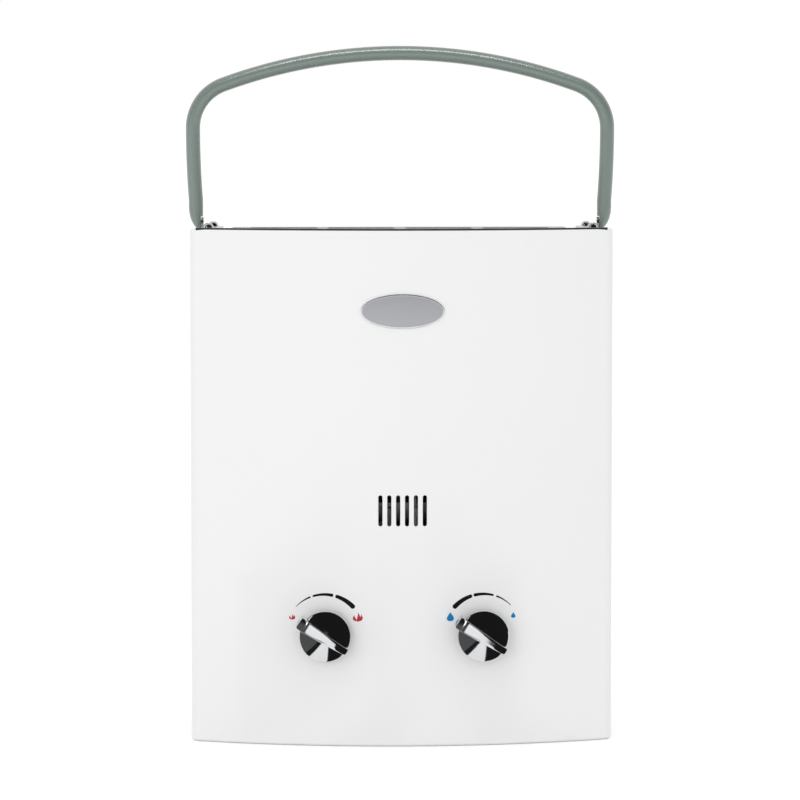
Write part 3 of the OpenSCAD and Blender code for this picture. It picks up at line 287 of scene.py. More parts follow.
STRETCH = ("Stretch", "NodeSocketVector", (1.0, 1.0, 1.0))
DRIFT_SCALE, STAIN_SCALE, GRAIN_SCALE = 9.0, 45.0, 1400.0  # Noise scales, in cells per metre
COARSE = 0.22  # Scale of brushed metal's coarse lines, as a share of the fine lines'
LINE_GAIN, LINE_BASE = 0.6, 0.2  # The coarse lines' tone is their noise times the gain plus the base


def coat_group():
    """Powder coat: a fine peel of soft bumps, and a slow drift of tone over the whole surface."""
    tree, given, out = group_of("powder_peel", [("Scale", "NodeSocketFloat", 900.0), STRETCH],
                                ["Height", "Tone"])
    where = stretched(tree, given)
    link(tree, noise(tree, where, given.outputs["Scale"], detail=2.0), out.inputs["Height"])
    link(tree, noise(tree, where, DRIFT_SCALE), out.inputs["Tone"])
    return tree


def brush_group():
    """Brushed metal: noise drawn out along one direction, fine for the height, coarser for the tone."""
    tree, given, out = group_of("brushed_lines", [("Scale", "NodeSocketFloat", 700.0), STRETCH],
                                ["Height", "Tone"])
    where = stretched(tree, given)
    fine = noise(tree, where, given.outputs["Scale"], detail=4.0, rough=0.7)
    coarse = noise(tree, where, arithmetic(tree, "MULTIPLY", given.outputs["Scale"], COARSE))
    link(tree, fine, out.inputs["Height"])
    lines = arithmetic(tree, "MULTIPLY", coarse, LINE_GAIN)
    link(tree, arithmetic(tree, "ADD", lines, LINE_BASE), out.inputs["Tone"])
    return tree


def spangle_group():
    """Zinc spangle: cells of slightly different tone, with a fine grain in their height."""
    tree, given, out = group_of("zinc_spangle", [("Scale", "NodeSocketFloat", 160.0), STRETCH],
                                ["Height", "Tone"])
    where = stretched(tree, given)
    cells = tree.nodes.new("ShaderNodeTexVoronoi")
    cells.feature = "F1"
    link(tree, where, cells.inputs["Vector"])
    link(tree, given.outputs["Scale"], cells.inputs["Scale"])
    grey = tree.nodes.new("ShaderNodeRGBToBW")
    link(tree, cells.outputs["Color"], grey.inputs[0])
    link(tree, grey.outputs[0], out.inputs["Tone"])
    link(tree, noise(tree, where, GRAIN_SCALE), out.inputs["Height"])
    return tree


def cast_group():
    """Cast or moulded skin: a sandy grain, with broad stains for the tone."""
    tree, given, out = group_of("cast_skin", [("Scale", "NodeSocketFloat", 800.0), STRETCH],
                                ["Height", "Tone"])
    where = stretched(tree, given)
    link(tree, noise(tree, where, given.outputs["Scale"], detail=6.0, rough=0.65), out.inputs["Height"])
    link(tree, noise(tree, where, STAIN_SCALE, detail=5.0, rough=0.6), out.inputs["Tone"])
    return tree


GROUPS = {"coat": coat_group, "brush": brush_group, "spangle": spangle_group, "cast": cast_group}
made_groups = {}
made_finishes = {}

# Each finish: two tones that the group's Tone mixes, the two ends of its roughness, how metallic it
# is, its group with scale and stretch, the bump's strength and depth, and further shader sockets.
FINISHES = {
    "casing_white": dict(tones=((0.86, 0.86, 0.865), (0.88, 0.88, 0.882)), rough=(0.26, 0.32),
                         metal=0.0, group="coat", scale=1100.0, bump=0.05, depth=0.00002,
                         shader={"Specular IOR Level": 0.35, "Coat Weight": 0.1,
                                 "Coat Roughness": 0.12}),
    "plate_grey": dict(tones=((0.55, 0.56, 0.57), (0.65, 0.66, 0.67)), rough=(0.34, 0.5), metal=0.9,
                       group="spangle", scale=190.0, bump=0.12, depth=0.00003),
    "badge_metal": dict(tones=((0.47, 0.478, 0.5), (0.57, 0.578, 0.6)), rough=(0.3, 0.42), metal=1.0,
                        group="brush", scale=900.0, stretch=(0.08, 1.0, 1.6), bump=0.12, depth=0.00002),
    "badge_rim": dict(tones=((0.66, 0.665, 0.68), (0.72, 0.725, 0.74)), rough=(0.2, 0.28), metal=1.0,
                      group="brush", scale=500.0, bump=0.03, depth=0.00001),
    "screw_steel": dict(tones=((0.46, 0.46, 0.47), (0.6, 0.6, 0.61)), rough=(0.16, 0.26), metal=1.0,
                        group="cast", scale=1500.0, bump=0.08, depth=0.00002),
    "flue_steel": dict(tones=((0.26, 0.26, 0.262), (0.42, 0.42, 0.422)), rough=(0.28, 0.42), metal=1.0,
                       group="brush", scale=800.0, stretch=(0.05, 1.0, 1.0), bump=0.15, depth=0.00003),
    "bail_paint": dict(tones=((0.159, 0.208, 0.181), (0.174, 0.226, 0.197)), rough=(0.4, 0.46),
                       metal=0.0, group="coat", scale=1300.0, bump=0.01, depth=0.00001,
                       shader={"Coat Weight": 1.0, "Coat Roughness": 0.24}),
    "bracket_zinc": dict(tones=((0.55, 0.56, 0.57), (0.72, 0.73, 0.74)), rough=(0.25, 0.38), metal=1.0,
                         group="spangle", scale=320.0, bump=0.08, depth=0.00002),
    "knob_chrome": dict(tones=((0.66, 0.665, 0.68), (0.7, 0.705, 0.72)), rough=(0.07, 0.1), metal=1.0,
                        group="coat", scale=400.0, bump=0.01, depth=0.00001),
    "brass_parts": dict(tones=((0.62, 0.42, 0.15), (0.75, 0.54, 0.24)), rough=(0.22, 0.38), metal=1.0,
                        group="cast", scale=900.0, bump=0.08, depth=0.00003),
    "copper": dict(tones=((0.62, 0.27, 0.14), (0.78, 0.38, 0.22)), rough=(0.24, 0.42), metal=1.0,
                   group="cast", scale=600.0, bump=0.06, depth=0.00003),
    "cast_alloy": dict(tones=((0.42, 0.42, 0.42), (0.55, 0.55, 0.545)), rough=(0.42, 0.6), metal=1.0,
                       group="cast", scale=700.0, bump=0.25, depth=0.00008),
    "ceramic": dict(tones=((0.8, 0.78, 0.72), (0.86, 0.85, 0.8)), rough=(0.14, 0.22), metal=0.0,
                    group="cast", scale=500.0, bump=0.04, depth=0.00003),
    "black_plastic": dict(tones=((0.018, 0.018, 0.02), (0.03, 0.03, 0.033)), rough=(0.42, 0.56),
                          metal=0.0, group="cast", scale=1600.0, bump=0.15, depth=0.00005),
    "lead_red": dict(tones=((0.42, 0.018, 0.014), (0.5, 0.03, 0.022)), rough=(0.4, 0.5), metal=0.0,
                     group="coat", scale=900.0, bump=0.05, depth=0.00003),
    "black_rubber": dict(tones=((0.012, 0.012, 0.013), (0.024, 0.024, 0.025)), rough=(0.6, 0.75),
                         metal=0.0, group="cast", scale=1100.0, bump=0.12, depth=0.00004),
    "battery_case": dict(tones=((0.02, 0.06, 0.22), (0.03, 0.08, 0.28)), rough=(0.24, 0.32), metal=0.3,
                         group="brush", scale=300.0, stretch=(1.0, 0.1, 0.1), bump=0.03, depth=0.00002),
    # Near-black finish of the strip on the cover's upper edge, which is painted shade for the gap there.
    "edge_seal": dict(tones=((0.016, 0.016, 0.017), (0.03, 0.03, 0.031)), rough=(0.4, 0.55), metal=0.0,
                      group="cast", scale=1500.0, bump=0.1, depth=0.00002),
    "ink_black": dict(tones=((0.006, 0.006, 0.006), (0.01, 0.01, 0.01)), rough=(0.35, 0.45), metal=0.0,
                      group="coat", scale=1500.0, bump=0.04, depth=0.00001,
                      shader={"Specular IOR Level": 0.12}),
    "ink_red": dict(tones=((0.5, 0.035, 0.05), (0.56, 0.05, 0.066)), rough=(0.35, 0.45), metal=0.0,
                    group="coat", scale=1500.0, bump=0.04, depth=0.00001,
                    shader={"Specular IOR Level": 0.12}),
    "ink_blue": dict(tones=((0.008, 0.19, 0.46), (0.012, 0.23, 0.52)), rough=(0.35, 0.45), metal=0.0,
                     group="coat", scale=1500.0, bump=0.04, depth=0.00001,
                     shader={"Specular IOR Level": 0.12}),
}


def finishes(name):
    """The material of a finish, built the first time that it is asked for."""
    if name in made_finishes:
        return made_finishes[name]
    how = FINISHES[name]
    if how["group"] not in made_groups:
        made_groups[how["group"]] = GROUPS[how["group"]]()
    material = bpy.data.materials.new(name)
    material.use_nodes = True
    tree = material.node_tree
    tree.nodes.clear()
    out = tree.nodes.new("ShaderNodeOutputMaterial")
    shader = tree.nodes.new("ShaderNodeBsdfPrincipled")
    effect = tree.nodes.new("ShaderNodeGroup")
    effect.node_tree = made_groups[how["group"]]
    effect.inputs["Scale"].default_value = how["scale"]
    effect.inputs["Stretch"].default_value = how.get("stretch", (1.0, 1.0, 1.0))
    colour = colour_mix(tree, effect.outputs["Tone"], *how["tones"])
    rough = tree.nodes.new("ShaderNodeMapRange")
    rough.inputs["To Min"].default_value, rough.inputs["To Max"].default_value = how["rough"]
    link(tree, effect.outputs["Tone"], rough.inputs["Value"])
    link(tree, colour, shader.inputs["Base Color"])
    link(tree, rough.outputs[0], shader.inputs["Roughness"])
    bump = tree.nodes.new("ShaderNodeBump")
    bump.inputs["Strength"].default_value = how["bump"]
    bump.inputs["Distance"].default_value = how["depth"]
    link(tree, effect.outputs["Height"], bump.inputs["Height"])
    link(tree, bump.outputs[0], shader.inputs["Normal"])
    shader.inputs["Metallic"].default_value = how["metal"]
    for socket, value in how.get("shader", {}).items():
        shader.inputs[socket].default_value = value
    link(tree, shader.outputs[0], out.inputs["Surface"])
    made_finishes[name] = material
    return material


# The settings that a user would change.

class CoverSettings(bpy.types.PropertyGroup):
    """Sizes of the formed cover."""
    half_width: size("Half width", "Half the casing's width", float(cover_high[0]))
    height: size("Height", "Height of the cover", float(cover_high[2]))
    front: size("Front", "How far the bow's middle lies in front of the origin", -float(cover_low[1]))
    back: size("Back", "How far the cover's back lies behind the origin", float(cover_high[1]))
    bow: size("Bow", "How far the front bows forward past its corners", 0.025)
    corner: size("Corner", "Radius of the upright front corners", 0.008)
    edge: size("Lower edge", "Radius of the rolled lower edge", 0.002)
    sheet: size("Sheet", "Thickness of the sheet metal", 0.0012)
    lip: size("Lip", "Width of the lips behind and underneath", 0.010)
    top_drop: size("Top drop", "How far the top plate lies below the cover's edge", 0.0055)
    rear_bend: size("Rear bend", "Radius of the bends at the back", 0.0016)
    step_back: size("Step back", "How far behind the corners the upper edge drops to the plate", 0.004)
    slot_count: count("Slots", "Number of sight slots", 6, 1, 12)
    slot_pitch: size("Slot pitch", "Distance between neighbouring slots", 0.00605)
    slot_width: size("Slot width", "Width of a slot", 0.0029)
    slot_length: size("Slot length", "Length of a slot", 0.0214)
    slot_height: size("Slot height", "Height of the slots' middle", 0.162)
    stem_hole: size("Stem hole", "Radius of the hole round each stem", 0.008)
    # These size the dark strip on the upper edge, which is painted shade for the gap there; its higher ends are
    # painted shade under the bail's feet.
    gap_shade_height: size("Seal height", "Visible height of the dark seal on the upper edge", 0.0014)
    gap_shade_proud: size("Seal stand", "How far the seal stands off the cover's face", 0.00015)
    gap_shade_end: size("Seal end", "Distance of the seal's ends from the middle of the casing", 0.1408)
    gap_shade_lift: size("Seal lift", "How far the seal stands over the cover's edge", 0.00005, 0.00001)
    gap_shade_swell: number("Seal swell", "How much higher the seal is at its ends, as a share", 0.5)
    gap_shade_swell_length: size("Seal swell length", "Length over which the seal gets higher", 0.005)
    ear_round: size("Upper corners", "Width of the rounding of the upper corners", 0.0045)
    ear_drop: number("Corner drop", "How much of the step the upper corners lose", 0.6, 0.0, 1.0)


class BadgeSettings(bpy.types.PropertyGroup):
    """Sizes of the bare oval badge."""
    width: size("Width", "Width of the badge", 0.057)
    height: size("Height", "Height of the badge", 0.0235)
    middle: size("Middle", "Height of the badge's middle above the ground", 0.298)
    thickness: size("Thickness", "Thickness at the rim", 0.0009)
    rim: size("Rim", "Width of the raised rim", 0.0011)


class BailSettings(bpy.types.PropertyGroup):
    """Sizes of the carrying bail."""
    rod: size("Rod", "Radius of the rod", 0.005)
    rise: size("Rise", "Height of the crown's middle line above the pivots", 0.1182)
    half_width: size("Half width", "Half width at the shoulders, at the middle line", 0.1439)
    foot_half_width: size("Foot half width", "Half width at the feet, at the middle line", 0.142)
    crown: size("Crown", "Radius of the crown's long arc", 0.357)
    shoulder: size("Shoulder", "Radius of the two shoulders", 0.032)
    foot: size("Foot", "How far the feet reach below the pivots", 0.0047)
    leg_start: size("Leg start", "Height above the pivots at which the legs begin", 0.016)
    taper: size("Taper", "Height of the rounding at the outside of a foot", 0.0165)
    taper_in: size("Taper in", "How far that rounding draws a foot in", 0.0093)
    recess: size("Recess", "Distance of a foot's flat from the middle of the casing", 0.13855)
    recess_top: size("Recess top", "Height of the flat's shoulder above the pivot", 0.0051)


class KnobSettings(bpy.types.PropertyGroup):
    """Sizes of the two knobs."""
    radius: size("Radius", "Radius of the skirt", 0.0176)
    height: size("Height", "Height up to the grip's top", 0.0223)
    dome: size("Dome", "Height of the domed face at its middle", 0.0145)
    side: size("Side", "Height of the side wall", 0.0095)
    bevel: size("Bevel", "Width of the rounding between the side wall and the domed face", 0.0004)
    corner: size("Corner", "Rounding of the side wall's edges", 0.0004)
    draft: size("Draft", "How far the side wall leans in", 0.0001, 0.00001)
    foot_gap: size("Foot gap", "How far the underside's middle lies off the cover", 0.0005)
    foot_rim: size("Foot rim", "Width of the rim round the underside", 0.0024)
    reach: size("Reach", "Reach of the grip's pointer end", 0.0212)
    tip: size("Tip", "Width of the grip at its pointer end", 0.0087)
    tail: size("Tail", "Width of the grip at its tail", 0.0046)
    tip_round: number("Tip round", "Radius of the tip's corners, as a share of its width", 0.18)
    tail_round: number("Tail round", "Radius of the tail's corners, as a share of its width", 0.28)
    edge: size("Edge", "Rounding of the grip's edges", 0.0007)
    sunk: size("Sunk", "How far the grip reaches below the top of the side wall", 0.003)
    tip_slope: size("Tip slope", "Length over which the grip falls to its pointer end", 0.0062)
    tip_fall: size("Tip fall", "How far the grip falls at its pointer end", 0.0036)
    tip_power: number("Tip power", "Power by which it falls there", 1.2)
    tail_slope: size("Tail slope", "Length over which the grip falls to its tail", 0.0095)
    tail_fall: size("Tail fall", "How far the grip falls at its tail", 0.0026)
    tail_power: number("Tail power", "Power by which it falls there", 2.0)
    camber: size("Camber", "How far the grip's back is cambered along its length", 0.0006)
    pointer: turn("Pointer", "Direction of both pointers, from the right, turning up", 147.6)


class MarkSettings(bpy.types.PropertyGroup):
    """Sizes of the printed arcs, flames and drops."""
    arc_radius: size("Arc radius", "Radius of the arcs round the knob axes", 0.0264)
    thin: size("Thin end", "Stroke of an arc at its thin end", 0.0003)
    thick: size("Thick end", "Stroke of an arc at its thick end", 0.0034)
    lift: size("Lift", "Height of the arcs' centres above the knob axes", 0.001)
    ink: size("Ink", "Thickness of the print", 0.00005, 0.00001)
    flame: size("Flame", "Height of the large flame", 0.0064)
    drop: size("Drop", "Height of the large drop", 0.0063)
    side_step: size("Side step", "Distance of the signs to the side of the knob axis", 0.0224)
    up_step: size("Up step", "Height of the signs above the knob axis", 0.0110)


class FittingSettings(bpy.types.PropertyGroup):
    """Sizes of the hose fittings."""
    spigot: size("Spigot", "Outer radius of a spigot", 0.0104)
    bore: size("Bore", "Radius of the bore", 0.0065)
    flats: size("Flats", "Distance across the hexagon's flats", 0.024)
    hexagon: size("Hexagon", "Height of the hexagon", 0.008)
    plate: size("Plate", "Height of the bottom plate's underside", 0.042)
    pitch: size("Pitch", "Pitch of the thread", 0.0018)
    depth: size("Depth", "Depth of the thread", 0.0009)
    lead: size("Lead", "Length over which the thread begins", 0.0015)
    runout: size("Runout", "Distance of the thread's end from the hexagon", 0.003)
    fade: size("Fade", "Length over which the thread ends", 0.001)
    chamfer: size("Chamfer", "How much narrower a spigot's end is", 0.0009)
    chamfer_length: size("Chamfer length", "Length of the chamfer", 0.0012)
    mouth: size("Mouth", "Chamfer of the bore's mouth", 0.0004)


class ScrewSettings(bpy.types.PropertyGroup):
    """Sizes of the screws."""
    dome: size("Dome", "Radius of the bracket screws' heads", 0.0037)
    dome_height: size("Dome height", "Height of the bracket screws' heads", 0.0036)
    pan: size("Pan", "Radius of the cover screws' heads", 0.0032)
    pan_height: size("Pan height", "Height of the cover screws' heads", 0.0016)
    shank: size("Shank", "Radius of the shanks", 0.0017)
    recess: size("Recess", "Width of the cross recess's arms", 0.0009)
    recess_depth: size("Recess depth", "Depth of the cross recess", 0.0004)


class StageSettings(bpy.types.PropertyGroup):
    """The floor, the light and the camera."""
    distance: size("Distance", "Distance of the camera in front of the casing's front corners", 2.5)
    aside: size("Aside", "How far the camera stands to the left of the middle", 0.057)
    eye: size("Eye", "Height of the camera above the ground", 0.4605)
    lens: number("Lens", "Focal length for a 36 mm sensor, in mm", 164.7, 10.0, 1000.0)
    pitch: turn("Pitch", "How far the camera looks down", 4.139)
    heading: turn("Heading", "How far the camera looks to the right", 1.278)
    rise: number("Rise", "Upward shift of the frame, as a share of its width", -0.08, -0.1, 0.1)
    sky: number("Sky", "Strength of the even light from all sides", 0.89)
    key: number("Key", "Power of the soft lamp in front, in watts", 13.0, 0.0, 2000.0)
    strip: number("Strip", "Power of the strip lamp for the bail, in watts", 6.8, 0.0, 500.0)
    strip_up: turn("Strip angle", "How high the strip lamp stands over the bail's crown", 58.0)
    strip_far: size("Strip distance", "Distance of the strip lamp from the bail's crown", 1.0)
    strip_wide: size("Strip width", "Width of the strip lamp", 0.26)
    strip_long: size("Strip length", "Length of the strip lamp, side to side", 0.75)
    floor_lift: number("Floor lift", "Extra glow of the floor that the camera sees", 0.2, 0.0, 1.0)
    floor_tone: tone("Floor", "Colour of the floor", (0.96, 0.96, 0.96))
    dark: number("Dark card", "Glow of the dark cards that the metal reflects", 0.012, 0.0, 1.0)
    grey: number("Grey card", "Glow of the grey sides of the cards by the knobs", 0.1, 0.0, 1.0)
    bright: number("Bright card", "Glow of the strip that lights the left corner", 4.0, 0.0, 50.0)
    far: size("Far", "Distance of the dark card in front", 12.0)
    far_low: size("Far low", "Height of the dark card's lower edge", 0.9)
    far_high: size("Far high", "Half the height of the dark card", 40.0)
    far_wide: size("Far wide", "Half the width of the dark card", 70.0)
    near_aside: size("Near aside", "How far right of its knob's axis a low card stands", 0.033)
    near_gap: size("Near gap", "How far in front of a knob's foot the low cards begin", 0.014)
    near_long: size("Near long", "Length of the low cards", 0.45)
    near_high: size("Near high", "Height of the low cards", 0.115)
    wedge_wide: size("Wedge width", "Width of the dark wedges on the floor", 0.05)
    wedge_long: size("Wedge length", "Length of the dark wedges on the floor", 0.34)
    wedge_aside: size("Wedge aside", "How far right of its knob's axis a wedge begins", 0.003)
    wedge_gap: size("Wedge gap", "How far in front of a knob's foot the wedges begin", 0.01)
    wedge_slant: number("Wedge slant", "Half of how far a wedge slants right over its length", 0.07)


# The bowed front.

# Numbers of points over the cover's regions.
SIDE_POINTS, CORNER_POINTS, BEND_POINTS, LIP_COLUMNS, LIP_ROWS, ROLL_ROWS = 5, 9, 5, 3, 3, 7
LEAST_CORNER = 0.001  # Least radius of an upright corner of an outline that is set in
LINE_GAP = 1e-5  # Grid lines nearer than this to a block's border are taken out


def bow_radius(c):
    """Radius of the arc through the bow's middle and the two front corners."""
    return (c.half_width ** 2 + c.bow ** 2) / (2 * c.bow)


def on_bow(c, x, z, off=0.0):
    """Points off the cover's face by a distance: they lie on a circle of that radius more, round the
    bow's upright axis, in the direction of the point (x, z) of the face."""
    r = bow_radius(c)
    cos = np.sqrt(1 - (x / r) ** 2)
    return np.stack([x + off * x / r, r - c.front - (r + off) * cos, z + 0 * x], -1)


def bow_normal(c, x):
    """The outward direction of the cover's face at x."""
    s = x / bow_radius(c)
    return np.stack([s, -np.sqrt(1 - s ** 2), 0 * s], -1)


class CoverOutline:
    """The cover's outline in plan, as columns from the left lip over the front to the right lip. For
    an inset d the arcs keep their centres and shrink, and the straight sides move in by d."""

    def __init__(self, c, bow_x):
        self.c, self.r = c, bow_radius(c)
        self.axis_y = self.r - c.front
        self.corner_t = np.linspace(0, 1, CORNER_POINTS)
        self.bend = np.linspace(0, np.pi / 2, BEND_POINTS)
        self.side_t = np.linspace(0, 1, SIDE_POINTS)
        self.bow_x = bow_x[(bow_x > -self.tangent_x()) & (bow_x < self.tangent_x())]

    def centre(self, inset):
        """Radius and centre of the right front corner's arc for an inset."""
        r = max(self.c.corner - inset, LEAST_CORNER)
        x = self.c.half_width - inset - r
        return r, x, self.axis_y - np.sqrt((self.r - inset - r) ** 2 - x ** 2)

    def tangent_x(self):
        """Where the bow's arc meets the corner's arc."""
        r, x, _ = self.centre(0)
        return x * self.r / (self.r - r)

    def columns(self, inset):
        """Points and outward normals of the whole outline, set in by a distance."""
        c = self.c
        r, cx, cy = self.centre(inset)
        turn_angle = np.arctan2(self.axis_y - cy, cx)
        turn_0 = np.arctan2(self.axis_y - self.centre(0)[2], self.centre(0)[1])
        lean = np.arcsin(self.bow_x / self.r) * (np.pi / 2 - turn_angle) / (np.pi / 2 - turn_0)
        bow_n = np.stack([np.sin(lean), -np.cos(lean)], -1)
        bow_p = np.array([0, self.axis_y]) + (self.r - inset) * bow_n
        a = -turn_angle * (1 - self.corner_t)
        corner_n = np.stack([np.cos(a), np.sin(a)], -1)
        corner_p = np.array([cx, cy]) + r * corner_n
        step_y = self.centre(0)[2] + c.step_back
        y = step_y + (c.back - c.rear_bend - step_y) * self.side_t
        side_p = np.stack([np.full_like(y, c.half_width - inset), y], -1)
        side_n = np.tile([1.0, 0.0], (len(y), 1))
        b = self.bend[1:]
        bend_n = np.stack([np.cos(b), np.sin(b)], -1)
        bend_p = np.array([c.half_width - c.rear_bend, c.back - c.rear_bend]) + c.rear_bend * bend_n
        x = np.linspace(c.half_width - c.rear_bend, c.half_width - c.lip, LIP_COLUMNS + 1)[1:]
        lip_p = np.stack([x, np.full_like(x, c.back)], -1)
        lip_n = np.tile([0.0, 1.0], (len(x), 1))
        right_p = np.concatenate([corner_p, side_p, bend_p, lip_p])
        right_n = np.concatenate([corner_n, side_n, bend_n, lip_n])
        flip = np.array([-1.0, 1.0])
        points = np.concatenate([right_p[::-1] * flip, bow_p, right_p])
        normals = np.concatenate([right_n[::-1] * flip, bow_n, right_n])
        return points, normals

    def back_columns(self):
        """How many columns at either end belong to the rear bend and the lip."""
        return len(self.bend) - 1 + LIP_COLUMNS

    def low_columns(self):
        """How many columns at either end lie behind the step in the upper edge."""
        return self.back_columns() + len(self.side_t) - 1


def block_lines(lines, low, high, cells):
    """Grid lines with every line between low and high taken out, and even ones put in."""
    keep = lines[(lines < low - LINE_GAP) | (lines > high + LINE_GAP)]
    return np.sort(np.concatenate([keep, np.linspace(low, high, cells + 1)]))


def slot_rim(x0, z0, half_w, half_l, m, n):
    """An upright slot's outline from its lower left, turning left: a half round of m steps, n steps
    up, a half round of m steps and n steps down."""
    straight = half_l - half_w
    a = np.pi + np.pi * np.arange(m) / m
    up = -straight + 2 * straight * np.arange(n) / n
    cos, sin = half_w * np.cos(a), half_w * np.sin(a)
    xs = np.concatenate([cos, np.full(n, half_w), -cos, np.full(n, -half_w)])
    zs = np.concatenate([sin - straight, up, straight - sin, -up])
    return x0 + xs, z0 + zs


class HEATER_OT_cover(bpy.types.Operator):
    """Make the bowed cover with its slots, stem holes, rolled edge and lips, and a dark strip along its upper edge
    that is painted shade
    """
    bl_idname = "heater.cover"
    bl_label = "Cover"

    # Cells over the width and the height of a slot's block, over a stem hole's block and over what
    # stands above the top plate, and grid lines over the whole width and height.
    RIM_CELLS, SLOT_CELLS, HOLE_CELLS, TOP_CELLS, WIDE_LINES, HIGH_LINES = 8, 16, 8, 2, 57, 26
    SLOT_MARGIN = 0.0025  # Height of a slot's block above and below the slot
    HOLE_BLOCK = 1.5  # Half a stem hole's block, as a share of the hole's radius
    SQUARE = 0.5  # Power that makes the section of the strip of painted shade a superellipse
    GAP_SHADE_SIDES = 16

    def execute(self, context):
        c = context.scene.heater_cover
        x_lines, z_lines = self.grid_lines(c)
        outline = CoverOutline(c, x_lines)
        points, normals, faces = self.opened(c, outline, *self.wall(c, outline, z_lines))
        used = np.unique(faces)
        number_of = np.full(len(points), -1)
        number_of[used] = np.arange(len(used))
        both, quads, corner = thickened(points[used], normals[used], number_of[faces], c.sheet)
        new_piece("cover_sheet", (both, quads), "casing", "casing_white", replaces=["front_cover"],
                  corner_normals=corner)
        self.gap_shade(c, outline)
        return {"FINISHED"}

    def slot_span(self, c):
        """The lower and the upper end of the slots' blocks."""
        half = c.slot_length / 2 + self.SLOT_MARGIN
        return c.slot_height - half, c.slot_height + half

    def stems(self):
        """Where the knobs' axes pass the cover: the two in x, and the height that they share."""
        gas, water = joint_at["gas_knob_turn"], joint_at["water_knob_turn"]
        return (gas[0], water[0]), gas[2]

    def grid_lines(self, c):
        """The grid's lines across and up: even ones, and closer ones over the openings' blocks and
        above the top plate."""
        slots_w, hole_half = c.slot_count * c.slot_pitch, c.stem_hole * self.HOLE_BLOCK
        stem_x, stem_z = self.stems()
        x_lines = np.linspace(-c.half_width, c.half_width, self.WIDE_LINES)
        x_lines = block_lines(x_lines, -slots_w / 2, slots_w / 2, self.RIM_CELLS * c.slot_count)
        for x in stem_x:
            x_lines = block_lines(x_lines, x - hole_half, x + hole_half, self.HOLE_CELLS)
        z_lines = np.linspace(c.edge, c.height, self.HIGH_LINES)
        z_lines = block_lines(z_lines, *self.slot_span(c), self.SLOT_CELLS)
        z_lines = block_lines(z_lines, stem_z - hole_half, stem_z + hole_half, self.HOLE_CELLS)
        z_lines = block_lines(z_lines, c.height - c.top_drop, c.height, self.TOP_CELLS)
        return x_lines, z_lines

    def wall(self, c, outline, z_lines):
        """The sheet without its openings: points and normals as a grid, and the number of rows under
        the upright wall. The rows are the lip underneath, the rolled edge, which is a quarter circle,
        and the wall. The upper corners are rounded down by a quarter ellipse in the distance from the
        middle."""
        rows = [(inset, 0.0, np.pi / 2) for inset in np.linspace(c.lip, c.edge, LIP_ROWS + 1)[:-1]]
        for a in np.linspace(np.pi / 2, 0, ROLL_ROWS):
            rows.append((c.edge * (1 - np.cos(a)), c.edge * (1 - np.sin(a)), a))
        roll_rows = len(rows)
        rows += [(0.0, z, 0.0) for z in z_lines[1:]]
        points, normals = [], []
        for inset, z, lean in rows:
            p, n = outline.columns(inset)
            points.append(np.column_stack([p, np.full(len(p), z)]))
            normals.append(np.column_stack([n * np.cos(lean), np.full(len(p), -np.sin(lean))]))
        points, normals = np.stack(points), np.stack(normals)
        share = np.clip((np.abs(points[..., 0]) - c.half_width) / c.ear_round + 1, 0, 1)
        above = np.clip(points[..., 2] - (c.height - c.top_drop), 0, None)
        points[..., 2] -= above * c.ear_drop * (1 - np.sqrt(1 - share ** 2))
        return points, normals, roll_rows

    def opened(self, c, outline, points, normals, roll_rows):
        """The sheet's points, normals and faces with its openings. A block of cells round each opening
        is taken out, and faces join the block's outline to as many points on the opening's rim. Behind
        the step the sheet ends at the top plate's height, and it has no lip under the rear bends."""
        rows, cols = points.shape[:2]
        cells = lattice(rows, cols).reshape(rows - 1, cols - 1, 4)
        keep = np.ones(cells.shape[:2], bool)
        row_z, col_x = points[:, cols // 2, 2], points[roll_rows, :, 0]
        back, low = outline.back_columns(), outline.low_columns()
        keep[:roll_rows - 1, :back] = keep[:roll_rows - 1, -back:] = False
        top_row = int(np.argmin(np.abs(row_z - (c.height - c.top_drop))))
        keep[top_row:, :low] = keep[top_row:, -low:] = False
        first_bow = np.flatnonzero(np.diff(col_x) > 0)[0]
        points, normals = points.reshape(-1, 3), normals.reshape(-1, 3)

        def nearest(places, first, last, place):
            """The number of the grid line nearest to a place, among those from first to last."""
            return first + int(np.argmin(np.abs(places[first:last] - place)))

        def block(x_low, x_high, z_low, z_high):
            """Takes a block of cells out and gives its outline's points, turning left."""
            c0, c1 = (nearest(col_x, first_bow, cols - first_bow, x) for x in (x_low, x_high))
            r0, r1 = (nearest(row_z, roll_rows - 1, rows, z) for z in (z_low, z_high))
            keep[r0:r1, c0:c1] = False
            return np.concatenate([
                r0 * cols + np.arange(c0, c1), np.arange(r0, r1) * cols + c1,
                r1 * cols + np.arange(c1, c0, -1), np.arange(r1, r0, -1) * cols + c0])

        rings = []
        for i in range(c.slot_count):
            x = (i - (c.slot_count - 1) / 2) * c.slot_pitch
            around = block(x - c.slot_pitch / 2, x + c.slot_pitch / 2, *self.slot_span(c))
            rings.append((around, slot_rim(x, c.slot_height, c.slot_width / 2, c.slot_length / 2,
                                           self.RIM_CELLS, self.SLOT_CELLS)))
        stem_x, stem_z = self.stems()
        half = c.stem_hole * self.HOLE_BLOCK
        for x in stem_x:
            around = block(x - half, x + half, stem_z - half, stem_z + half)
            a = np.arctan2(points[around, 2] - stem_z, points[around, 0] - x)
            rings.append((around, (x + c.stem_hole * np.cos(a), stem_z + c.stem_hole * np.sin(a))))
        faces = [cells[keep]]
        for around, (x, z) in rings:
            inner = len(points) + np.arange(len(x))
            points = np.concatenate([points, on_bow(c, x, z)])
            normals = np.concatenate([normals, bow_normal(c, x)])
            faces.append(np.stack([around, np.roll(around, -1), np.roll(inner, -1), inner], -1))
        return points, normals, np.concatenate(faces)

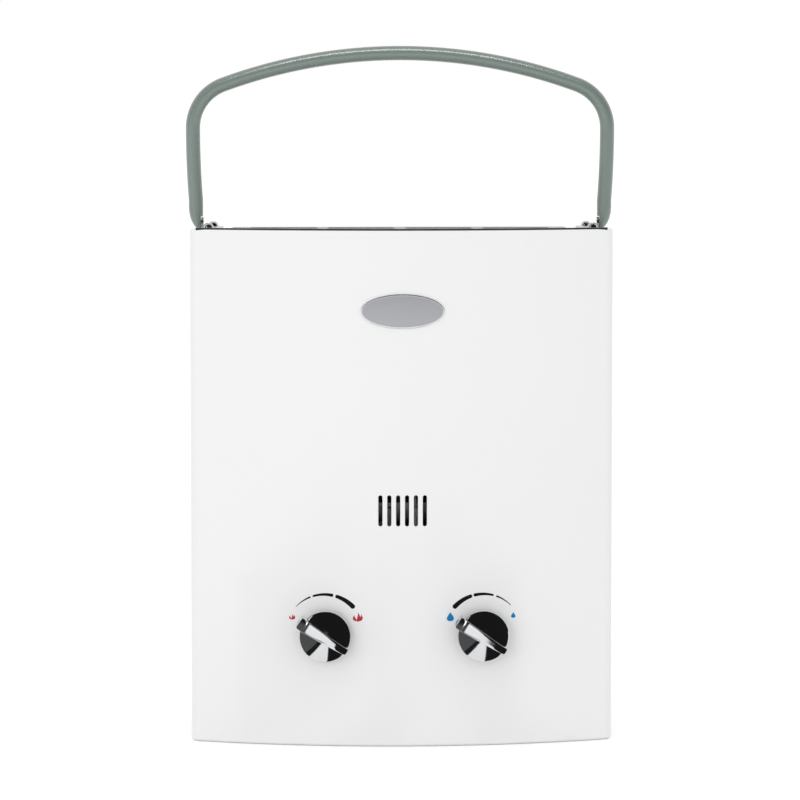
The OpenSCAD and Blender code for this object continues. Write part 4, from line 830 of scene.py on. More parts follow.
    def gap_shade(self, c, outline):
        """Painted shade on the upper edge: a near-black rounded bead carried along the outline, from corner to
        corner of the front, which stands in for the shade in the gap behind the edge. Its section is a
        superellipse of the bead's height and the sheet's thickness, and its height swells over a short length at
        both ends, as painted shade under the bail's feet."""
        p, n = outline.columns(0.0)
        on_front = (np.abs(p[:, 0]) < c.gap_shade_end) & (p[:, 1] < 0)
        p, n = p[on_front], n[on_front]
        t = np.linspace(0, 2 * np.pi, self.GAP_SHADE_SIDES, endpoint=False)
        half_t = c.sheet / 2 + c.gap_shade_proud
        across = half_t * np.sign(np.cos(t)) * np.abs(np.cos(t)) ** self.SQUARE
        near_end = np.clip((np.abs(p[:, :1]) - c.gap_shade_end) / c.gap_shade_swell_length + 1, 0, 1)
        half_h = c.gap_shade_height / 2 * (1 + c.gap_shade_swell * near_end)
        up = half_h * np.sign(np.sin(t)) * np.abs(np.sin(t)) ** self.SQUARE
        middle = p - n * c.sheet / 2
        ring = middle[:, None, :] + n[:, None, :] * across[None, :, None]
        z = c.height + c.gap_shade_lift - half_h + up
        points = np.concatenate([ring, z[..., None]], -1)
        ends = [np.repeat(points[i].mean(0, keepdims=True), len(t), 0)[None] for i in (0, -1)]
        points = np.concatenate([ends[0], points, ends[1]])
        faces = lattice(len(points), len(t), closed=True)
        new_piece("upper_edge_seal", (points.reshape(-1, 3), faces), "casing", "casing_white",
                  finish="edge_seal")


class HEATER_OT_badge(bpy.types.Operator):
    """Make the bare oval badge that follows the bow"""
    bl_idname = "heater.badge"
    bl_label = "Badge"

    SIDES, RIM_STEPS, FACE_STEPS = 96, 5, 13
    # Shares of the rim's width: where its underside starts, and how wide its two rounds are.
    FOOT, ROUND = 0.5, 0.35
    # Shares of the thickness: where the outer and the inner round start, the face's height at its
    # edge, and how much higher its middle is.
    OUTER, INNER, FACE, SWELL = 0.55, 0.62, 0.6, 0.12

    def execute(self, context):
        c, b = context.scene.heater_cover, context.scene.heater_badge
        t = np.linspace(0, 2 * np.pi, self.SIDES, endpoint=False)

        def rings(steps):
            """Ellipses set in by a distance and raised by a height, for each pair in steps."""
            out = []
            for inset, height in steps:
                x = (b.width / 2 - inset) * np.cos(t)
                z = b.middle + (b.height / 2 - inset) * np.sin(t)
                out.append(on_bow(c, x, z, height))
            return np.concatenate(out), lattice(len(steps), len(t), closed=True)

        h, w = b.thickness, b.rim
        a = np.linspace(0, np.pi / 2, self.RIM_STEPS)
        rim = [(w * self.FOOT, 0.0), (0.0, 0.0), (0.0, self.OUTER * h)]
        rim += [(self.ROUND * w * (1 - np.cos(x)), h * (self.OUTER + (1 - self.OUTER) * np.sin(x)))
                for x in a[1:]]
        rim += [(w - self.ROUND * w * np.cos(x), h * (self.INNER + (1 - self.INNER) * np.sin(x)))
                for x in a[::-1][:-1]]
        rim += [(w, self.FACE * h)]
        new_piece("badge_rim", rings(rim), "casing", "badge_metal", finish="badge_rim",
                  replaces=["badge_plate"])
        share = np.linspace(0, 1, self.FACE_STEPS)
        x = share[:, None] * (b.width / 2 - w) * np.cos(t)
        z = b.middle + share[:, None] * (b.height / 2 - w) * np.sin(t)
        lift = h * (self.FACE + self.SWELL * (1 - share[:, None] ** 2)) + 0 * x
        face = on_bow(c, x, z) + bow_normal(c, x) * lift[..., None]
        under = on_bow(c, x[-1:], z[-1:], 0.0)
        closed = np.concatenate([np.repeat(under.mean(1, keepdims=True), len(t), 1), under, face[::-1]])
        new_piece("badge_face", (closed.reshape(-1, 3), lattice(len(closed), len(t), closed=True)),
                  "casing", "badge_metal")
        return {"FINISHED"}


class HEATER_OT_bail(bpy.types.Operator):
    """Make the carrying bail: a round rod with rounded feet, each with a flat for its bracket"""
    bl_idname = "heater.bail"
    bl_label = "Bail"

    # Points along the foot's round, its flat and the rest of it, along the leg, the shoulder and half
    # the crown, and round the rod.
    ROUND, FLAT, FOOT, LEG, SHOULDER, CROWN, SIDES = 9, 5, 14, 14, 25, 31, 48
    FLAT_STEP = 1e-5  # Height of the shoulder where a foot's flat ends

    def execute(self, context):
        b = context.scene.heater_bail
        _, pivot_y, pivot_z = joint_at["bail_swing"]
        line = self.middle_line(b, pivot_z)
        ahead = np.gradient(line, axis=0)
        ahead /= np.linalg.norm(ahead, axis=1, keepdims=True)
        low = line[:, 1] - pivot_z
        foot_row = low < b.leg_start - NUDGE
        side = np.sign(line[:, 0])
        ahead[foot_row] = np.stack([0 * side, -side], -1)[foot_row]
        out = np.stack([-ahead[:, 1], ahead[:, 0]], -1)
        # The rounding is a quarter ellipse: it draws the outside in by taper_in at the foot's end.
        share = np.clip(1 - (low + b.foot) / b.taper, 0, 1)
        half_x = b.rod - b.taper_in / 2 * (1 - np.sqrt(1 - share ** 2)) * foot_row
        half_y = np.sqrt(b.rod ** 2 - np.minimum(low, 0) ** 2)
        middle = line - out * (b.rod - half_x)[:, None]
        t = np.linspace(0, 2 * np.pi, self.SIDES, endpoint=False)
        across, along_y = half_x[:, None] * np.cos(t), half_y[:, None] * np.sin(t)
        flat = (low <= b.recess_top) & foot_row
        reach_in = np.where(flat, b.recess, 0.0)[:, None]
        x = middle[:, 0, None] + out[:, 0, None] * across
        x = np.where(flat[:, None], side[:, None] * np.maximum(np.abs(x), reach_in), x)
        points = np.stack([x, pivot_y - along_y, middle[:, 1, None] + out[:, 1, None] * across], -1)
        ends = np.repeat(points[[0, -1]].mean(1, keepdims=True), len(t), 1)
        points = np.concatenate([ends[:1], points, ends[1:]])
        new_piece("bail_rod", (points.reshape(-1, 3), lattice(len(points), len(t), closed=True)),
                  "bail", "bail_paint", replaces=["bail"])
        return {"FINISHED"}

    def middle_line(self, b, pivot_z):
        """The rod's middle line in x and z, from the left foot over the crown to the right foot. Each
        half is an upright foot, a leg on a wide arc, the shoulder's arc and half the crown's arc, and
        these three arcs run into one another without a bend."""
        crown_z = pivot_z + b.rise - b.crown
        shoulder_x = b.half_width - b.shoulder
        shoulder_z = crown_z + np.sqrt((b.crown - b.shoulder) ** 2 - shoulder_x ** 2)
        half = np.arcsin(shoulder_x / (b.crown - b.shoulder))
        leg_z = pivot_z + b.leg_start
        drop, draw = shoulder_z - leg_z, b.half_width - b.foot_half_width
        leg_r = (drop ** 2 + draw ** 2) / (2 * draw)
        a = np.arcsin(drop / leg_r) * (1 - np.linspace(0, 1, self.LEG))[:-1]
        leg = np.stack([b.half_width - leg_r + leg_r * np.cos(a), shoulder_z - leg_r * np.sin(a)], -1)
        a = (np.pi / 2 - half) * np.linspace(0, 1, self.SHOULDER)[:-1]
        shoulder = b.shoulder * np.stack([np.cos(a), np.sin(a)], -1) + [shoulder_x, shoulder_z]
        a = np.pi / 2 - half * np.linspace(1, 0, self.CROWN)
        crown = np.stack([b.crown * np.cos(a), crown_z + b.crown * np.sin(a)], -1)
        # The foot, with two rows where its flat ends.
        down = -b.foot * np.sin(np.linspace(np.pi / 2, 0, self.ROUND))
        flat_l = np.linspace(0, b.recess_top, self.FLAT)[1:]
        up = np.linspace(b.recess_top + self.FLAT_STEP, b.leg_start, self.FOOT)[:-1]
        foot_l = np.concatenate([down, flat_l, up])
        foot = np.stack([np.full_like(foot_l, b.foot_half_width), pivot_z + foot_l], -1)
        right = np.concatenate([foot, leg, shoulder, crown])
        return np.concatenate([right * [-1, 1], right[-2::-1]])


class HEATER_OT_knobs(bpy.types.Operator):
    """Make the two chrome knobs, each a domed skirt with a tapered grip"""
    bl_idname = "heater.knobs"
    bl_label = "Knobs"

    SIDES, CAP_STEPS, WALL_STEPS, END_STEPS, BAR_STEPS = 96, 22, 8, 7, 40
    EDGE_ANGLES = np.radians([20, 40, 60, 75, 90])  # Steps over the rounding of the grip's back

    def execute(self, context):
        k = context.scene.heater_knobs
        for body in ("gas_knob", "water_knob"):
            x, y, z = joint_at[body + "_turn"]
            new_piece(body + "_chrome", joined(self.skirt(k, (x, y, z)), self.grip(k, (x, y, z))), body,
                      "knob_chrome", replaces=[body], sharp=40)
        return {"FINISHED"}

    def skirt(self, k, centre):
        """A lathe form: a side wall that leans in, a rounded shoulder and a shallow spherical cap."""
        cap_a, cap_h = k.radius - k.bevel, k.dome - k.side
        cap_r = (cap_a ** 2 + cap_h ** 2) / (2 * cap_h)
        r = cap_a * np.linspace(1, 0, self.CAP_STEPS)
        cap = np.stack([r, k.dome - cap_r + np.sqrt(cap_r ** 2 - r ** 2)], -1)
        side = rounded_profile([
            (0.0, k.foot_gap, 0), (k.radius - k.foot_rim, k.foot_gap, 0), (k.radius - k.corner, 0.0, 0),
            (k.radius, k.foot_gap, k.corner),
            (k.radius - k.draft, k.side - k.corner, k.corner - k.draft), (*cap[0], 0)], self.WALL_STEPS)
        return revolved(np.concatenate([side, cap[1:]]), self.SIDES, centre, (0, -1, 0))

    def grip(self, k, centre):
        """A bar in plan between two small rounds at each end, risen from inside the dome to its back.
        For an inset d the rounds shrink by d, and the back closes on the middle line. Near either end
        the back falls by a power of the distance from where its slope starts."""
        tip_r, tail_r = k.tip * k.tip_round, k.tail * k.tail_round
        tip_at = np.array([k.reach - tip_r, k.tip / 2 - tip_r])
        tail_at = np.array([tail_r - k.radius, k.tail / 2 - tail_r])
        a = np.linspace(0, np.pi / 2, self.END_STEPS)
        share = np.linspace(0, 1, self.BAR_STEPS)[1:-1]

        def ring(inset, height):
            """The bar's outline for an inset, from its pointer end over its left side round."""
            tip = tip_at + (tip_r - inset) * np.stack([np.cos(a), np.sin(a)], -1)
            tail = tail_at + (tail_r - inset) * np.stack([-np.sin(a), np.cos(a)], -1)
            side = tip[-1] + (tail[0] - tip[-1]) * share[:, None]
            half = np.concatenate([tip, side, tail])
            flat = np.concatenate([half, half[::-1] * [1, -1]])
            return np.column_stack([flat, np.full(len(flat), height)])

        e = k.edge
        steps = [(0.0, k.side - k.sunk), (0.0, k.side), (0.0, k.height - e)]
        steps += [(e * (1 - np.cos(t)), k.height - e * (1 - np.sin(t))) for t in self.EDGE_ANGLES]
        rings = [ring(*step) for step in steps]
        # The back closes on its middle line, over a ring half way to it.
        middle = [rings[-1] * [1, 0.5, 1], rings[-1] * [1, 0, 1]]
        under = rings[0] * [1, 0, 1]
        rings = np.stack([under] + rings + middle)
        # The back falls towards both ends.
        s = rings[..., 0]
        tip_fall = np.clip((s - (k.reach - k.tip_slope)) / k.tip_slope, 0, 1)
        tail_fall = np.clip((k.tail_slope - k.radius - s) / k.tail_slope, 0, 1)
        fall = k.tip_fall * tip_fall ** k.tip_power + k.tail_fall * tail_fall ** k.tail_power
        rise = np.clip((rings[..., 2] - k.side) / (k.height - k.side), 0, 1)
        rings[..., 2] -= (fall + k.camber * (s / k.radius) ** 2) * rise
        cos, sin = np.cos(k.pointer), np.sin(k.pointer)
        # Rows: the directions along and across the bar and out of the cover.
        points = rings @ np.array([[cos, 0, sin], [-sin, 0, cos], [0, -1, 0]]) + np.array(centre)
        return points.reshape(-1, 3), lattice(len(rings), rings.shape[1], closed=True)


class HEATER_OT_marks(bpy.types.Operator):
    """Print the arcs, flames and drops on the cover round the knobs"""
    bl_idname = "heater.marks"
    bl_label = "Marks"

    # The arcs' ends in degrees, and the span over which their stroke grows from thin to thick.
    GAS_ARCS = ((138.6, 111.5), (108.8, 77.2), (74.5, 40.5))
    WATER_ARCS = ((140.3, 106.1), (104.4, 73.5), (70.3, 43.1))
    GROWS_FROM, GROWS_TO = np.radians([139.5, 41.5])
    ARC_STEPS, ARC_ROWS, TONGUE_STEPS, DROP_STEPS, SIGN_ROWS = 41, 4, 25, 49, 7
    LEAST_HALF = 1e-6  # Half the stroke at an arc's very end
    # Each sign: its side of the knob, how far it is moved right and up, and its share of full height.
    FLAMES = ((1, 0.0, 0.0, 1.0), (-1, 0.0, -0.0004, 0.62))
    DROPS = ((-1, 0.0, 0.0002, 1.0), (1, -0.0015, 0.0004, 0.63))
    # Each tongue of a flame, in shares of its height: foot, lean, length and half width.
    TONGUES = ((-0.2, -0.16, 0.66, 0.18), (0.0, 0.04, 1.0, 0.21), (0.21, 0.17, 0.76, 0.18))
    # A tongue's hump has this power and fade. Its spine is bent by this, and its foot is raised by
    # this share of its distance from the middle.
    HUMP, HUMP_FADE, BEND, FOOT_RISE = 0.62, 0.25, 0.1, 0.3
    # A drop's half width, the power of its point, and how far below its middle its rings close.
    DROP_HALF, DROP_POWER, DROP_LOW = 0.56, 1.6, 0.18
    SINK = 1.4  # The print's thickness with what lies in the cover, as a share of what shows

    def execute(self, context):
        c, s = context.scene.heater_cover, context.scene.heater_marks
        gas_x, _, z = joint_at["gas_knob_turn"]
        water_x = joint_at["water_knob_turn"][0]
        z = z + s.lift
        pieces = []
        for x, rising, spans in ((gas_x, True, self.GAS_ARCS), (water_x, False, self.WATER_ARCS)):
            pieces += [self.arc(s, x, z, span, rising) for span in spans]
        self.print_on(c, s, "dial_arcs", pieces, "ink_black")
        flames = [tongue for side, right, up, share in self.FLAMES for tongue in self.flame(
            gas_x + side * s.side_step + right, z + s.up_step + up, s.flame * share)]
        self.print_on(c, s, "flame_signs", flames, "ink_red")
        drops = [self.drop(water_x + side * s.side_step + right, z + s.up_step + up, s.drop * share)
                 for side, right, up, share in self.DROPS]
        self.print_on(c, s, "drop_signs", drops, "ink_blue")
        return {"FINISHED"}

    def print_on(self, c, s, name, pieces, ink):
        """Lays flat grids of (x, z) on the bow, each with the print's thickness."""
        surfaces = []
        for x, z in pieces:
            faces = lattice(*x.shape)
            p = on_bow(c, x, z, 0.0) + bow_normal(c, x) * s.ink
            flat = p.reshape(-1, 3)
            n = bow_normal(c, x.ravel())
            a, b, d = flat[faces[0, 0]], flat[faces[0, 1]], flat[faces[0, 3]]
            if np.cross(b - a, d - a) @ n[faces[0, 0]] < 0:
                faces = faces[:, ::-1]
            both, quads, _ = thickened(flat, n, faces, s.ink * self.SINK)
            surfaces.append((both, quads))
        new_piece(name, joined(*surfaces), "casing", "casing_white", finish=ink, sharp=50)

    def arc(self, s, x, z, span, rising):
        """A stroke round a knob axis whose width grows evenly with its angle, with round ends: the
        half width is cut down by a circle at each end."""
        t = np.radians(np.linspace(*span, self.ARC_STEPS))
        share = (self.GROWS_FROM - t) / (self.GROWS_FROM - self.GROWS_TO)
        width = s.thin + (s.thick - s.thin) * (share if rising else 1 - share)
        run = np.abs(t - t[0]) * s.arc_radius
        left = np.minimum(run, run[-1] - run)
        half = width / 2
        cap = np.clip(left / half, 0, 1)
        half = half * np.sqrt(np.clip(1 - (1 - cap) ** 2, 0, 1)) + self.LEAST_HALF
        r = s.arc_radius + half[None, :] * np.linspace(-1, 1, self.ARC_ROWS)[:, None]
        return x + r * np.cos(t), z + r * np.sin(t)

    def flame(self, x, z, height):
        """Three tongues. Each is carried along a bent spine, and its half width is a skewed hump."""
        t, w = np.meshgrid(np.linspace(0, 1, self.TONGUE_STEPS), np.linspace(-1, 1, self.SIGN_ROWS))
        hump = np.sin(np.pi * t ** self.HUMP) * (1 - self.HUMP_FADE * t)
        tongues = []
        for foot, lean, tall, wide in self.TONGUES:
            bend = self.BEND * np.sin(np.pi * t) * np.sign(lean)
            xs = foot + lean * t + bend + wide * hump * w
            zs = self.FOOT_RISE * abs(foot) - 0.5 + tall * t
            tongues.append((x + height * xs, z + height * zs))
        return tongues

    def drop(self, x, z, height):
        """A drop: rings of the curve (sin t sin(t/2)^p, cos t) that shrink to a point inside it."""
        t, share = np.meshgrid(np.linspace(0, 2 * np.pi, self.DROP_STEPS),
                               np.linspace(0, 1, self.SIGN_ROWS))
        xs = self.DROP_HALF * np.sin(t) * np.abs(np.sin(t / 2)) ** self.DROP_POWER
        zs = 0.5 * np.cos(t)
        return x + height * share * xs, z + height * (share * (zs + self.DROP_LOW) - self.DROP_LOW)


class HEATER_OT_screws(bpy.types.Operator):
    """Make the heads of the screws, each with a cross recess"""
    bl_idname = "heater.screws"
    bl_label = "Screws"

    SPREAD = 0.012  # A screw's points lie nearer together than this, and apart from other screws'
    # Shares of a head's radius: the cross's reach, where it runs out, and over which length.
    CROSS, RUN_OUT, FADE = 0.55, 0.6, 0.35
    RINGS, SIDES = 26, 64

    def execute(self, context):
        s = context.scene.heater_screws
        heads = self.heads("bracket_screws", s.dome, s.dome_height, (0, 0, 1), s)
        new_piece("bracket_screw_heads", joined(*heads), "casing", "screw_steel",
                  replaces=["bracket_screws"])
        heads = self.heads("cover_screws", s.pan, s.pan_height, (0, 1, 0), s)
        new_piece("cover_screw_heads", joined(*heads), "casing", "screw_steel",
                  replaces=["cover_screws"])
        return {"FINISHED"}

    def heads(self, node, radius, height, axis, s):
        """One head and shank for each screw of a CAD node. The head's height is a circle's arc less a
        cross-shaped pit, as a function of radius and angle."""
        points = np.array([v.co for v in frame["nodes"][node].data.vertices])
        e1, e2, e3 = turned(axis)
        along = points @ e3
        flat = np.stack([points @ e1, points @ e2], -1)
        centres = []
        for cell in np.unique(np.round(flat / self.SPREAD), axis=0):
            near = flat[np.linalg.norm(flat - cell * self.SPREAD, axis=1) < self.SPREAD]
            middle = (near.min(0) + near.max(0)) / 2
            if all(np.linalg.norm(middle - other) > self.SPREAD / 2 for other in centres):
                centres.append(middle)
        top, low = along.max(), along.min()
        out = []
        share, t = np.meshgrid(np.linspace(0, 1, self.RINGS),
                               np.linspace(0, 2 * np.pi, self.SIDES, endpoint=False), indexing="ij")
        ball = (radius ** 2 + height ** 2) / (2 * height)
        r = radius * share
        up = np.sqrt(ball ** 2 - r ** 2) - ball
        u, v = r * np.cos(t), r * np.sin(t)
        arm = np.minimum(np.abs(u), np.abs(v)) < s.recess / 2
        inside = np.maximum(np.abs(u), np.abs(v)) < radius * self.CROSS
        fade = np.clip((radius * self.RUN_OUT - r) / (radius * self.FADE), 0, 1)
        up = up - np.where(arm & inside, s.recess_depth * fade, 0)
        for centre in centres:
            foot = centre[0] * e1 + centre[1] * e2
            cap = foot + u[..., None] * e1 + v[..., None] * e2 + (top + up)[..., None] * e3
            wall = [(0.0, low - top), (s.shank, low - top), (s.shank, -height), (radius, -height)]
            t1 = t[0]
            lower = np.stack([foot + r0 * (np.cos(t1)[:, None] * e1 + np.sin(t1)[:, None] * e2)
                              + (top + h0) * e3 for r0, h0 in wall])
            both = np.concatenate([lower, cap[::-1]])
            out.append((both.reshape(-1, 3), lattice(len(both), len(t1), closed=True)))
        return out


class HEATER_OT_fittings(bpy.types.Operator):
    """Make the three threaded hose fittings under the casing"""
    bl_idname = "heater.fittings"
    bl_label = "Fittings"

    SIDES, THREAD_ROWS = 72, 130
    # Over the hexagon's height, as shares of it, how much its corners lose to the chamfers.
    HEX_ROWS = ((0.0, 0.0016), (0.06, 0.0006), (0.14, 0.0), (0.86, 0.0), (0.94, 0.0006), (1.0, 0.0016))

    def execute(self, context):
        f = context.scene.heater_fittings
        for node in ("gas_inlet", "water_inlet", "water_outlet"):
            low, high = (np.array(corner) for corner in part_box(node))
            x, y = (low[0] + high[0]) / 2, (low[1] + high[1]) / 2
            new_piece(node + "_fitting", self.fitting(f, x, y, low[2], high[2]), "casing",
                      "brass_parts", replaces=[node], sharp=28)
        return {"FINISHED"}

    def fitting(self, f, x, y, low, high):
        """A pipe with an outside thread. The thread's radius is the spigot's less a triangle wave of
        height over pitch minus angle over a full turn, and it fades out towards both ends."""
        t = np.linspace(0, 2 * np.pi, self.SIDES, endpoint=False)
        hex_low = f.plate - f.hexagon
        z = np.linspace(low, hex_low, self.THREAD_ROWS)
        phase = (z[:, None] / f.pitch - t[None, :] / (2 * np.pi)) % 1
        wave = np.abs(2 * phase - 1)
        fade = np.clip((z - low) / f.lead, 0, 1) * np.clip((hex_low - f.runout - z) / f.fade, 0, 1)
        chamfer = np.clip(1 - (z - low) / f.chamfer_length, 0, 1) * f.chamfer
        thread = f.spigot - f.depth * (wave * fade[:, None]) - chamfer[:, None]
        # The hexagon is the smaller of a hexagon and a circle that chamfers its corners.
        six = f.flats / 2 / np.cos((t + np.pi / 6) % (np.pi / 3) - np.pi / 6)
        corner = f.flats / 2 / np.cos(np.pi / 6)
        rings = [(f.bore, low + f.mouth), (f.bore + f.mouth, low), *zip(thread, z), (f.spigot, hex_low)]
        rings += [(np.minimum(six, corner - cut), hex_low + f.hexagon * up)
                  for up, cut in self.HEX_ROWS]
        rings += [(f.spigot, hex_low + f.hexagon), (f.spigot, high), (f.bore, high),
                  (f.bore, low + f.mouth)]
        points = np.stack([np.stack([x + r * np.cos(t), y + r * np.sin(t), np.full_like(t, h)], -1)
                           for r, h in rings])
        return points.reshape(-1, 3), lattice(len(points), len(t), closed=True)


class HEATER_OT_finishes(bpy.types.Operator):
    """Give every carried-over solid the finish of its material slot"""
    bl_idname = "heater.finishes"
    bl_label = "Finishes"

    def execute(self, context):
        for node, solid in frame["nodes"].items():
            solid.data.materials.clear()
            solid.data.materials.append(finishes(node_slot[node]))
        return {"FINISHED"}


class HEATER_OT_stage(bpy.types.Operator):
    """Set up the floor, the even light, the lamps, the dark cards and the camera"""
    bl_idname = "heater.stage"
    bl_label = "Stage"

    SENSOR = 36.0  # Width of the camera's sensor, in mm
    CLIP = (0.05, 100.0)
    FLOOR_HALF, FLOOR_DROP = 60.0, 0.0003
    KEY_PLACE, KEY_AIM, KEY_SIZE = (-0.9, -2.9, 0.7), (0.0, 0.0, 0.18), (1.6, 1.2)
    # The strip on the left: its middle and its half edges.
    LEFT_PLACE, LEFT_WIDE, LEFT_HIGH = (-1.5, -1.3, 0.9), (0.05, -0.05, 0), (0, 0, 1.2)
    RIGHT_SHARE = 0.46  # Half the right card's width, as a share of its distance
    WEDGE_LIFT = 0.0004  # Height of the wedges over the ground

    def execute(self, context):
        s = context.scene.heater_stage
        scene = context.scene
        scene.view_settings.view_transform = "Standard"
        self.floor(s)
        self.sky(s)
        self.lamps(s)
        self.cards(s)
        corner_y = -context.scene.heater_cover.front + context.scene.heater_cover.bow
        lens = bpy.data.cameras.new("camera")
        lens.lens, lens.sensor_width = s.lens, self.SENSOR
        lens.shift_y = s.rise
        lens.clip_start, lens.clip_end = self.CLIP
        camera = bpy.data.objects.new("camera", lens)
        scene.collection.objects.link(camera)
        camera.location = (-s.aside, corner_y - s.distance, s.eye)
        camera.rotation_euler = (np.pi / 2 - s.pitch, 0.0, -s.heading)
        scene.camera = camera
        return {"FINISHED"}

    def flat(self, name, centre, right, up, material):
        """A flat four-cornered card: centre plus or minus two half edges."""
        centre, right, up = map(np.array, (centre, right, up))
        mesh = bpy.data.meshes.new(name)
        corners = ((-1, -1), (1, -1), (1, 1), (-1, 1))
        mesh.from_pydata([tuple(centre + a * right + b * up) for a, b in corners], [], [(0, 1, 2, 3)])
        card = bpy.data.objects.new(name, mesh)
        bpy.context.scene.collection.objects.link(card)
        mesh.materials.append(material)
        return card

    def floor(self, s):
        """A pale floor. What the camera sees of it is lifted to white, and it keeps its shadows. It
        is seen from above only, so that a camera below it sees the heater's underside."""
        material = bpy.data.materials.new("floor_paper")
        material.use_nodes = True
        tree = material.node_tree
        shader = tree.nodes["Principled BSDF"]
        shader.inputs["Roughness"].default_value = 0.9
        shader.inputs["Specular IOR Level"].default_value = 0.0
        seen = seen_rays(tree)
        link(tree, colour_mix(tree, seen, s.floor_tone, (1, 1, 1)), shader.inputs["Base Color"])
        shader.inputs["Emission Color"].default_value = (1, 1, 1, 1)
        link(tree, arithmetic(tree, "MULTIPLY", seen, s.floor_lift), shader.inputs["Emission Strength"])
        side = tree.nodes.new("ShaderNodeNewGeometry")
        above = arithmetic(tree, "SUBTRACT", 1.0, side.outputs["Backfacing"])
        link(tree, above, shader.inputs["Alpha"])
        half = self.FLOOR_HALF
        self.flat("floor", (0, 0, -self.FLOOR_DROP), (half, 0, 0), (0, half, 0), material)

    def sky(self, s):
        """An even white world, at full white for the rays that see it."""
        world = bpy.data.worlds.new("studio")
        bpy.context.scene.world = world
        world.use_nodes = True
        tree = world.node_tree
        back = tree.nodes["Background"]
        strength = tree.nodes.new("ShaderNodeMapRange")
        strength.inputs["To Min"].default_value = s.sky
        strength.inputs["To Max"].default_value = 1.0
        link(tree, seen_rays(tree), strength.inputs["Value"])
        link(tree, strength.outputs[0], back.inputs["Strength"])
        back.inputs["Color"].default_value = (1, 1, 1, 1)

    def lamps(self, s):
        """A soft lamp in front on the left, and a strip that gives the bail alone its highlight."""
        key = self.lamp("key", self.KEY_PLACE, self.KEY_AIM, self.KEY_SIZE, s.key)
        key.visible_glossy = False
        crown = np.array(joint_at["bail_swing"]) + [0, 0, bpy.context.scene.heater_bail.rise]
        away = s.strip_far * np.array([0, -np.cos(s.strip_up), np.sin(s.strip_up)])
        strip = self.lamp("bail_strip", crown + away, crown, (s.strip_long, s.strip_wide), s.strip)
        strip.data.use_shadow = False
        strip.visible_diffuse = False
        lit = bpy.data.collections.new("bail_lit")
        lit.objects.link(bpy.data.objects["bail_rod"])
        strip.light_linking.receiver_collection = lit

    def lamp(self, name, place, target, size_m, power):
        """A rectangular lamp at a place, aimed at a target."""
        light = bpy.data.lights.new(name, "AREA")
        light.shape, light.energy = "RECTANGLE", power
        light.size, light.size_y = size_m
        lamp = bpy.data.objects.new(name, light)
        bpy.context.scene.collection.objects.link(lamp)
        lamp.location = place
        aim = np.array(target) - np.array(place)
        lamp.rotation_euler = (np.arctan2(np.hypot(aim[0], aim[1]), -aim[2]), 0.0,
                               np.arctan2(aim[1], aim[0]) - np.pi / 2)
        return lamp

    def card_paint(self, name, front, back):
        """A glowing card without shine, with one tone on its front and one on its back."""
        material = bpy.data.materials.new(name)
        material.use_nodes = True
        tree = material.node_tree
        shader = tree.nodes["Principled BSDF"]
        shader.inputs["Base Color"].default_value = (0, 0, 0, 1)
        shader.inputs["Roughness"].default_value = 1.0
        shader.inputs["Specular IOR Level"].default_value = 0.0
        shader.inputs["Emission Strength"].default_value = 1.0
        side = tree.nodes.new("ShaderNodeNewGeometry")
        tones = colour_mix(tree, side.outputs["Backfacing"], (front,) * 3, (back,) * 3)
        link(tree, tones, shader.inputs["Emission Color"])
        return material

    def cards(self, s):
        """Cards that only mirrors see: far dark ones above the camera and on the right, a bright strip
        on the left, and by each knob a low one, black where it faces left and grey where it faces
        right, and a dark wedge on the floor."""
        far = self.card_paint("far_card", s.dark, s.dark)
        near = self.card_paint("knob_card", s.grey, s.dark)
        left = self.card_paint("left_card", s.bright, s.bright)
        gas_x, knob_y, _ = joint_at["gas_knob_turn"]
        step = joint_at["water_knob_turn"][0] - gas_x
        far_z, far_up, near_up = s.far_low + s.far_high, (0, 0, s.far_high), (0, 0, s.near_high / 2)
        cards = [self.flat("card_above", (0, -s.far, far_z), (s.far_wide, 0, 0), far_up, far),
                 self.flat("card_right", (s.far, -s.far / 2, far_z), (0, s.far * self.RIGHT_SHARE, 0),
                           far_up, far),
                 self.flat("card_left", self.LEFT_PLACE, self.LEFT_WIDE, self.LEFT_HIGH, left)]
        near_y = knob_y - s.near_gap - s.near_long / 2
        wedge_y = knob_y - s.wedge_gap - s.wedge_long / 2
        slant = s.wedge_long * s.wedge_slant
        # One of each by either knob, and one to the left that the gas knob sees.
        for i in range(3):
            x = gas_x + (i - 1) * step
            cards.append(self.flat("card_beside_%d" % i, (x + s.near_aside, near_y, s.near_high / 2),
                                   (0, s.near_long / 2, 0), near_up, near))
            wedge_x = x + s.wedge_aside + s.wedge_wide / 2 + slant
            cards.append(self.flat("card_under_%d" % i, (wedge_x, wedge_y, self.WEDGE_LIFT),
                                   (s.wedge_wide / 2, 0, 0), (slant, -s.wedge_long / 2, 0), far))
        for card in cards:
            card.visible_camera = card.visible_diffuse = card.visible_shadow = False
            card.visible_transmission = card.visible_volume_scatter = False


class HEATER_PT_pieces(bpy.types.Panel):
    """Lists the pieces and their sizes"""
    bl_idname = "HEATER_PT_pieces"
    bl_label = "Water Heater"
    bl_space_type = "VIEW_3D"
    bl_region_type = "UI"
    bl_category = "Heater"

    def draw(self, context):
        for made in OPERATORS:
            self.layout.operator(made.bl_idname)
        for key, group in SETTINGS.items():
            box = self.layout.box()
            box.label(text=key.split("_")[-1].title())
            for name in group.__annotations__:
                box.prop(getattr(context.scene, key), name)


SETTINGS = {
    "heater_cover": CoverSettings, "heater_badge": BadgeSettings, "heater_bail": BailSettings,
    "heater_knobs": KnobSettings, "heater_marks": MarkSettings, "heater_screws": ScrewSettings,
    "heater_fittings": FittingSettings, "heater_stage": StageSettings,
}
OPERATORS = (HEATER_OT_finishes, HEATER_OT_cover, HEATER_OT_badge, HEATER_OT_bail, HEATER_OT_knobs,
             HEATER_OT_marks, HEATER_OT_screws, HEATER_OT_fittings, HEATER_OT_stage)


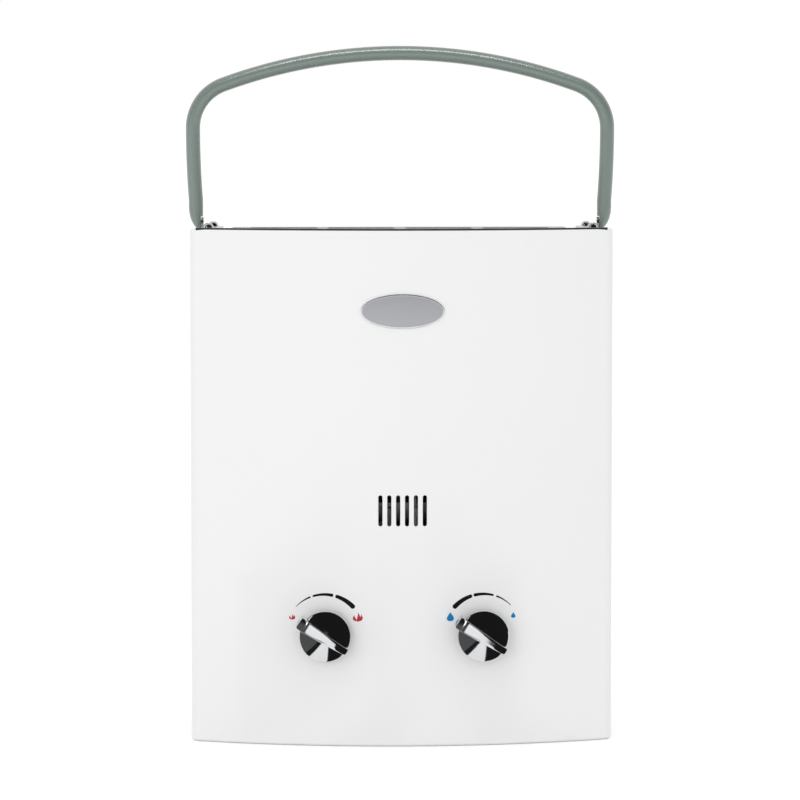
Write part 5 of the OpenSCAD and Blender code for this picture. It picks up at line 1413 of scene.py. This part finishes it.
def register():
    """Registers the settings, the operators and the panel."""
    for item in (*SETTINGS.values(), *OPERATORS, HEATER_PT_pieces):
        bpy.utils.register_class(item)
    for key, group in SETTINGS.items():
        setattr(bpy.types.Scene, key, bpy.props.PointerProperty(type=group))


def unregister():
    """Takes them away again."""
    for key in SETTINGS:
        delattr(bpy.types.Scene, key)
    for item in reversed((*SETTINGS.values(), *OPERATORS, HEATER_PT_pieces)):
        bpy.utils.unregister_class(item)


def main():
    """Makes every piece and the stage."""
    register()
    for made in OPERATORS:
        family, name = made.bl_idname.split(".")
        if getattr(getattr(bpy.ops, family), name)() != {"FINISHED"}:
            raise RuntimeError(made.bl_label + " wasn't made")


if __name__ == "__main__":
    main()
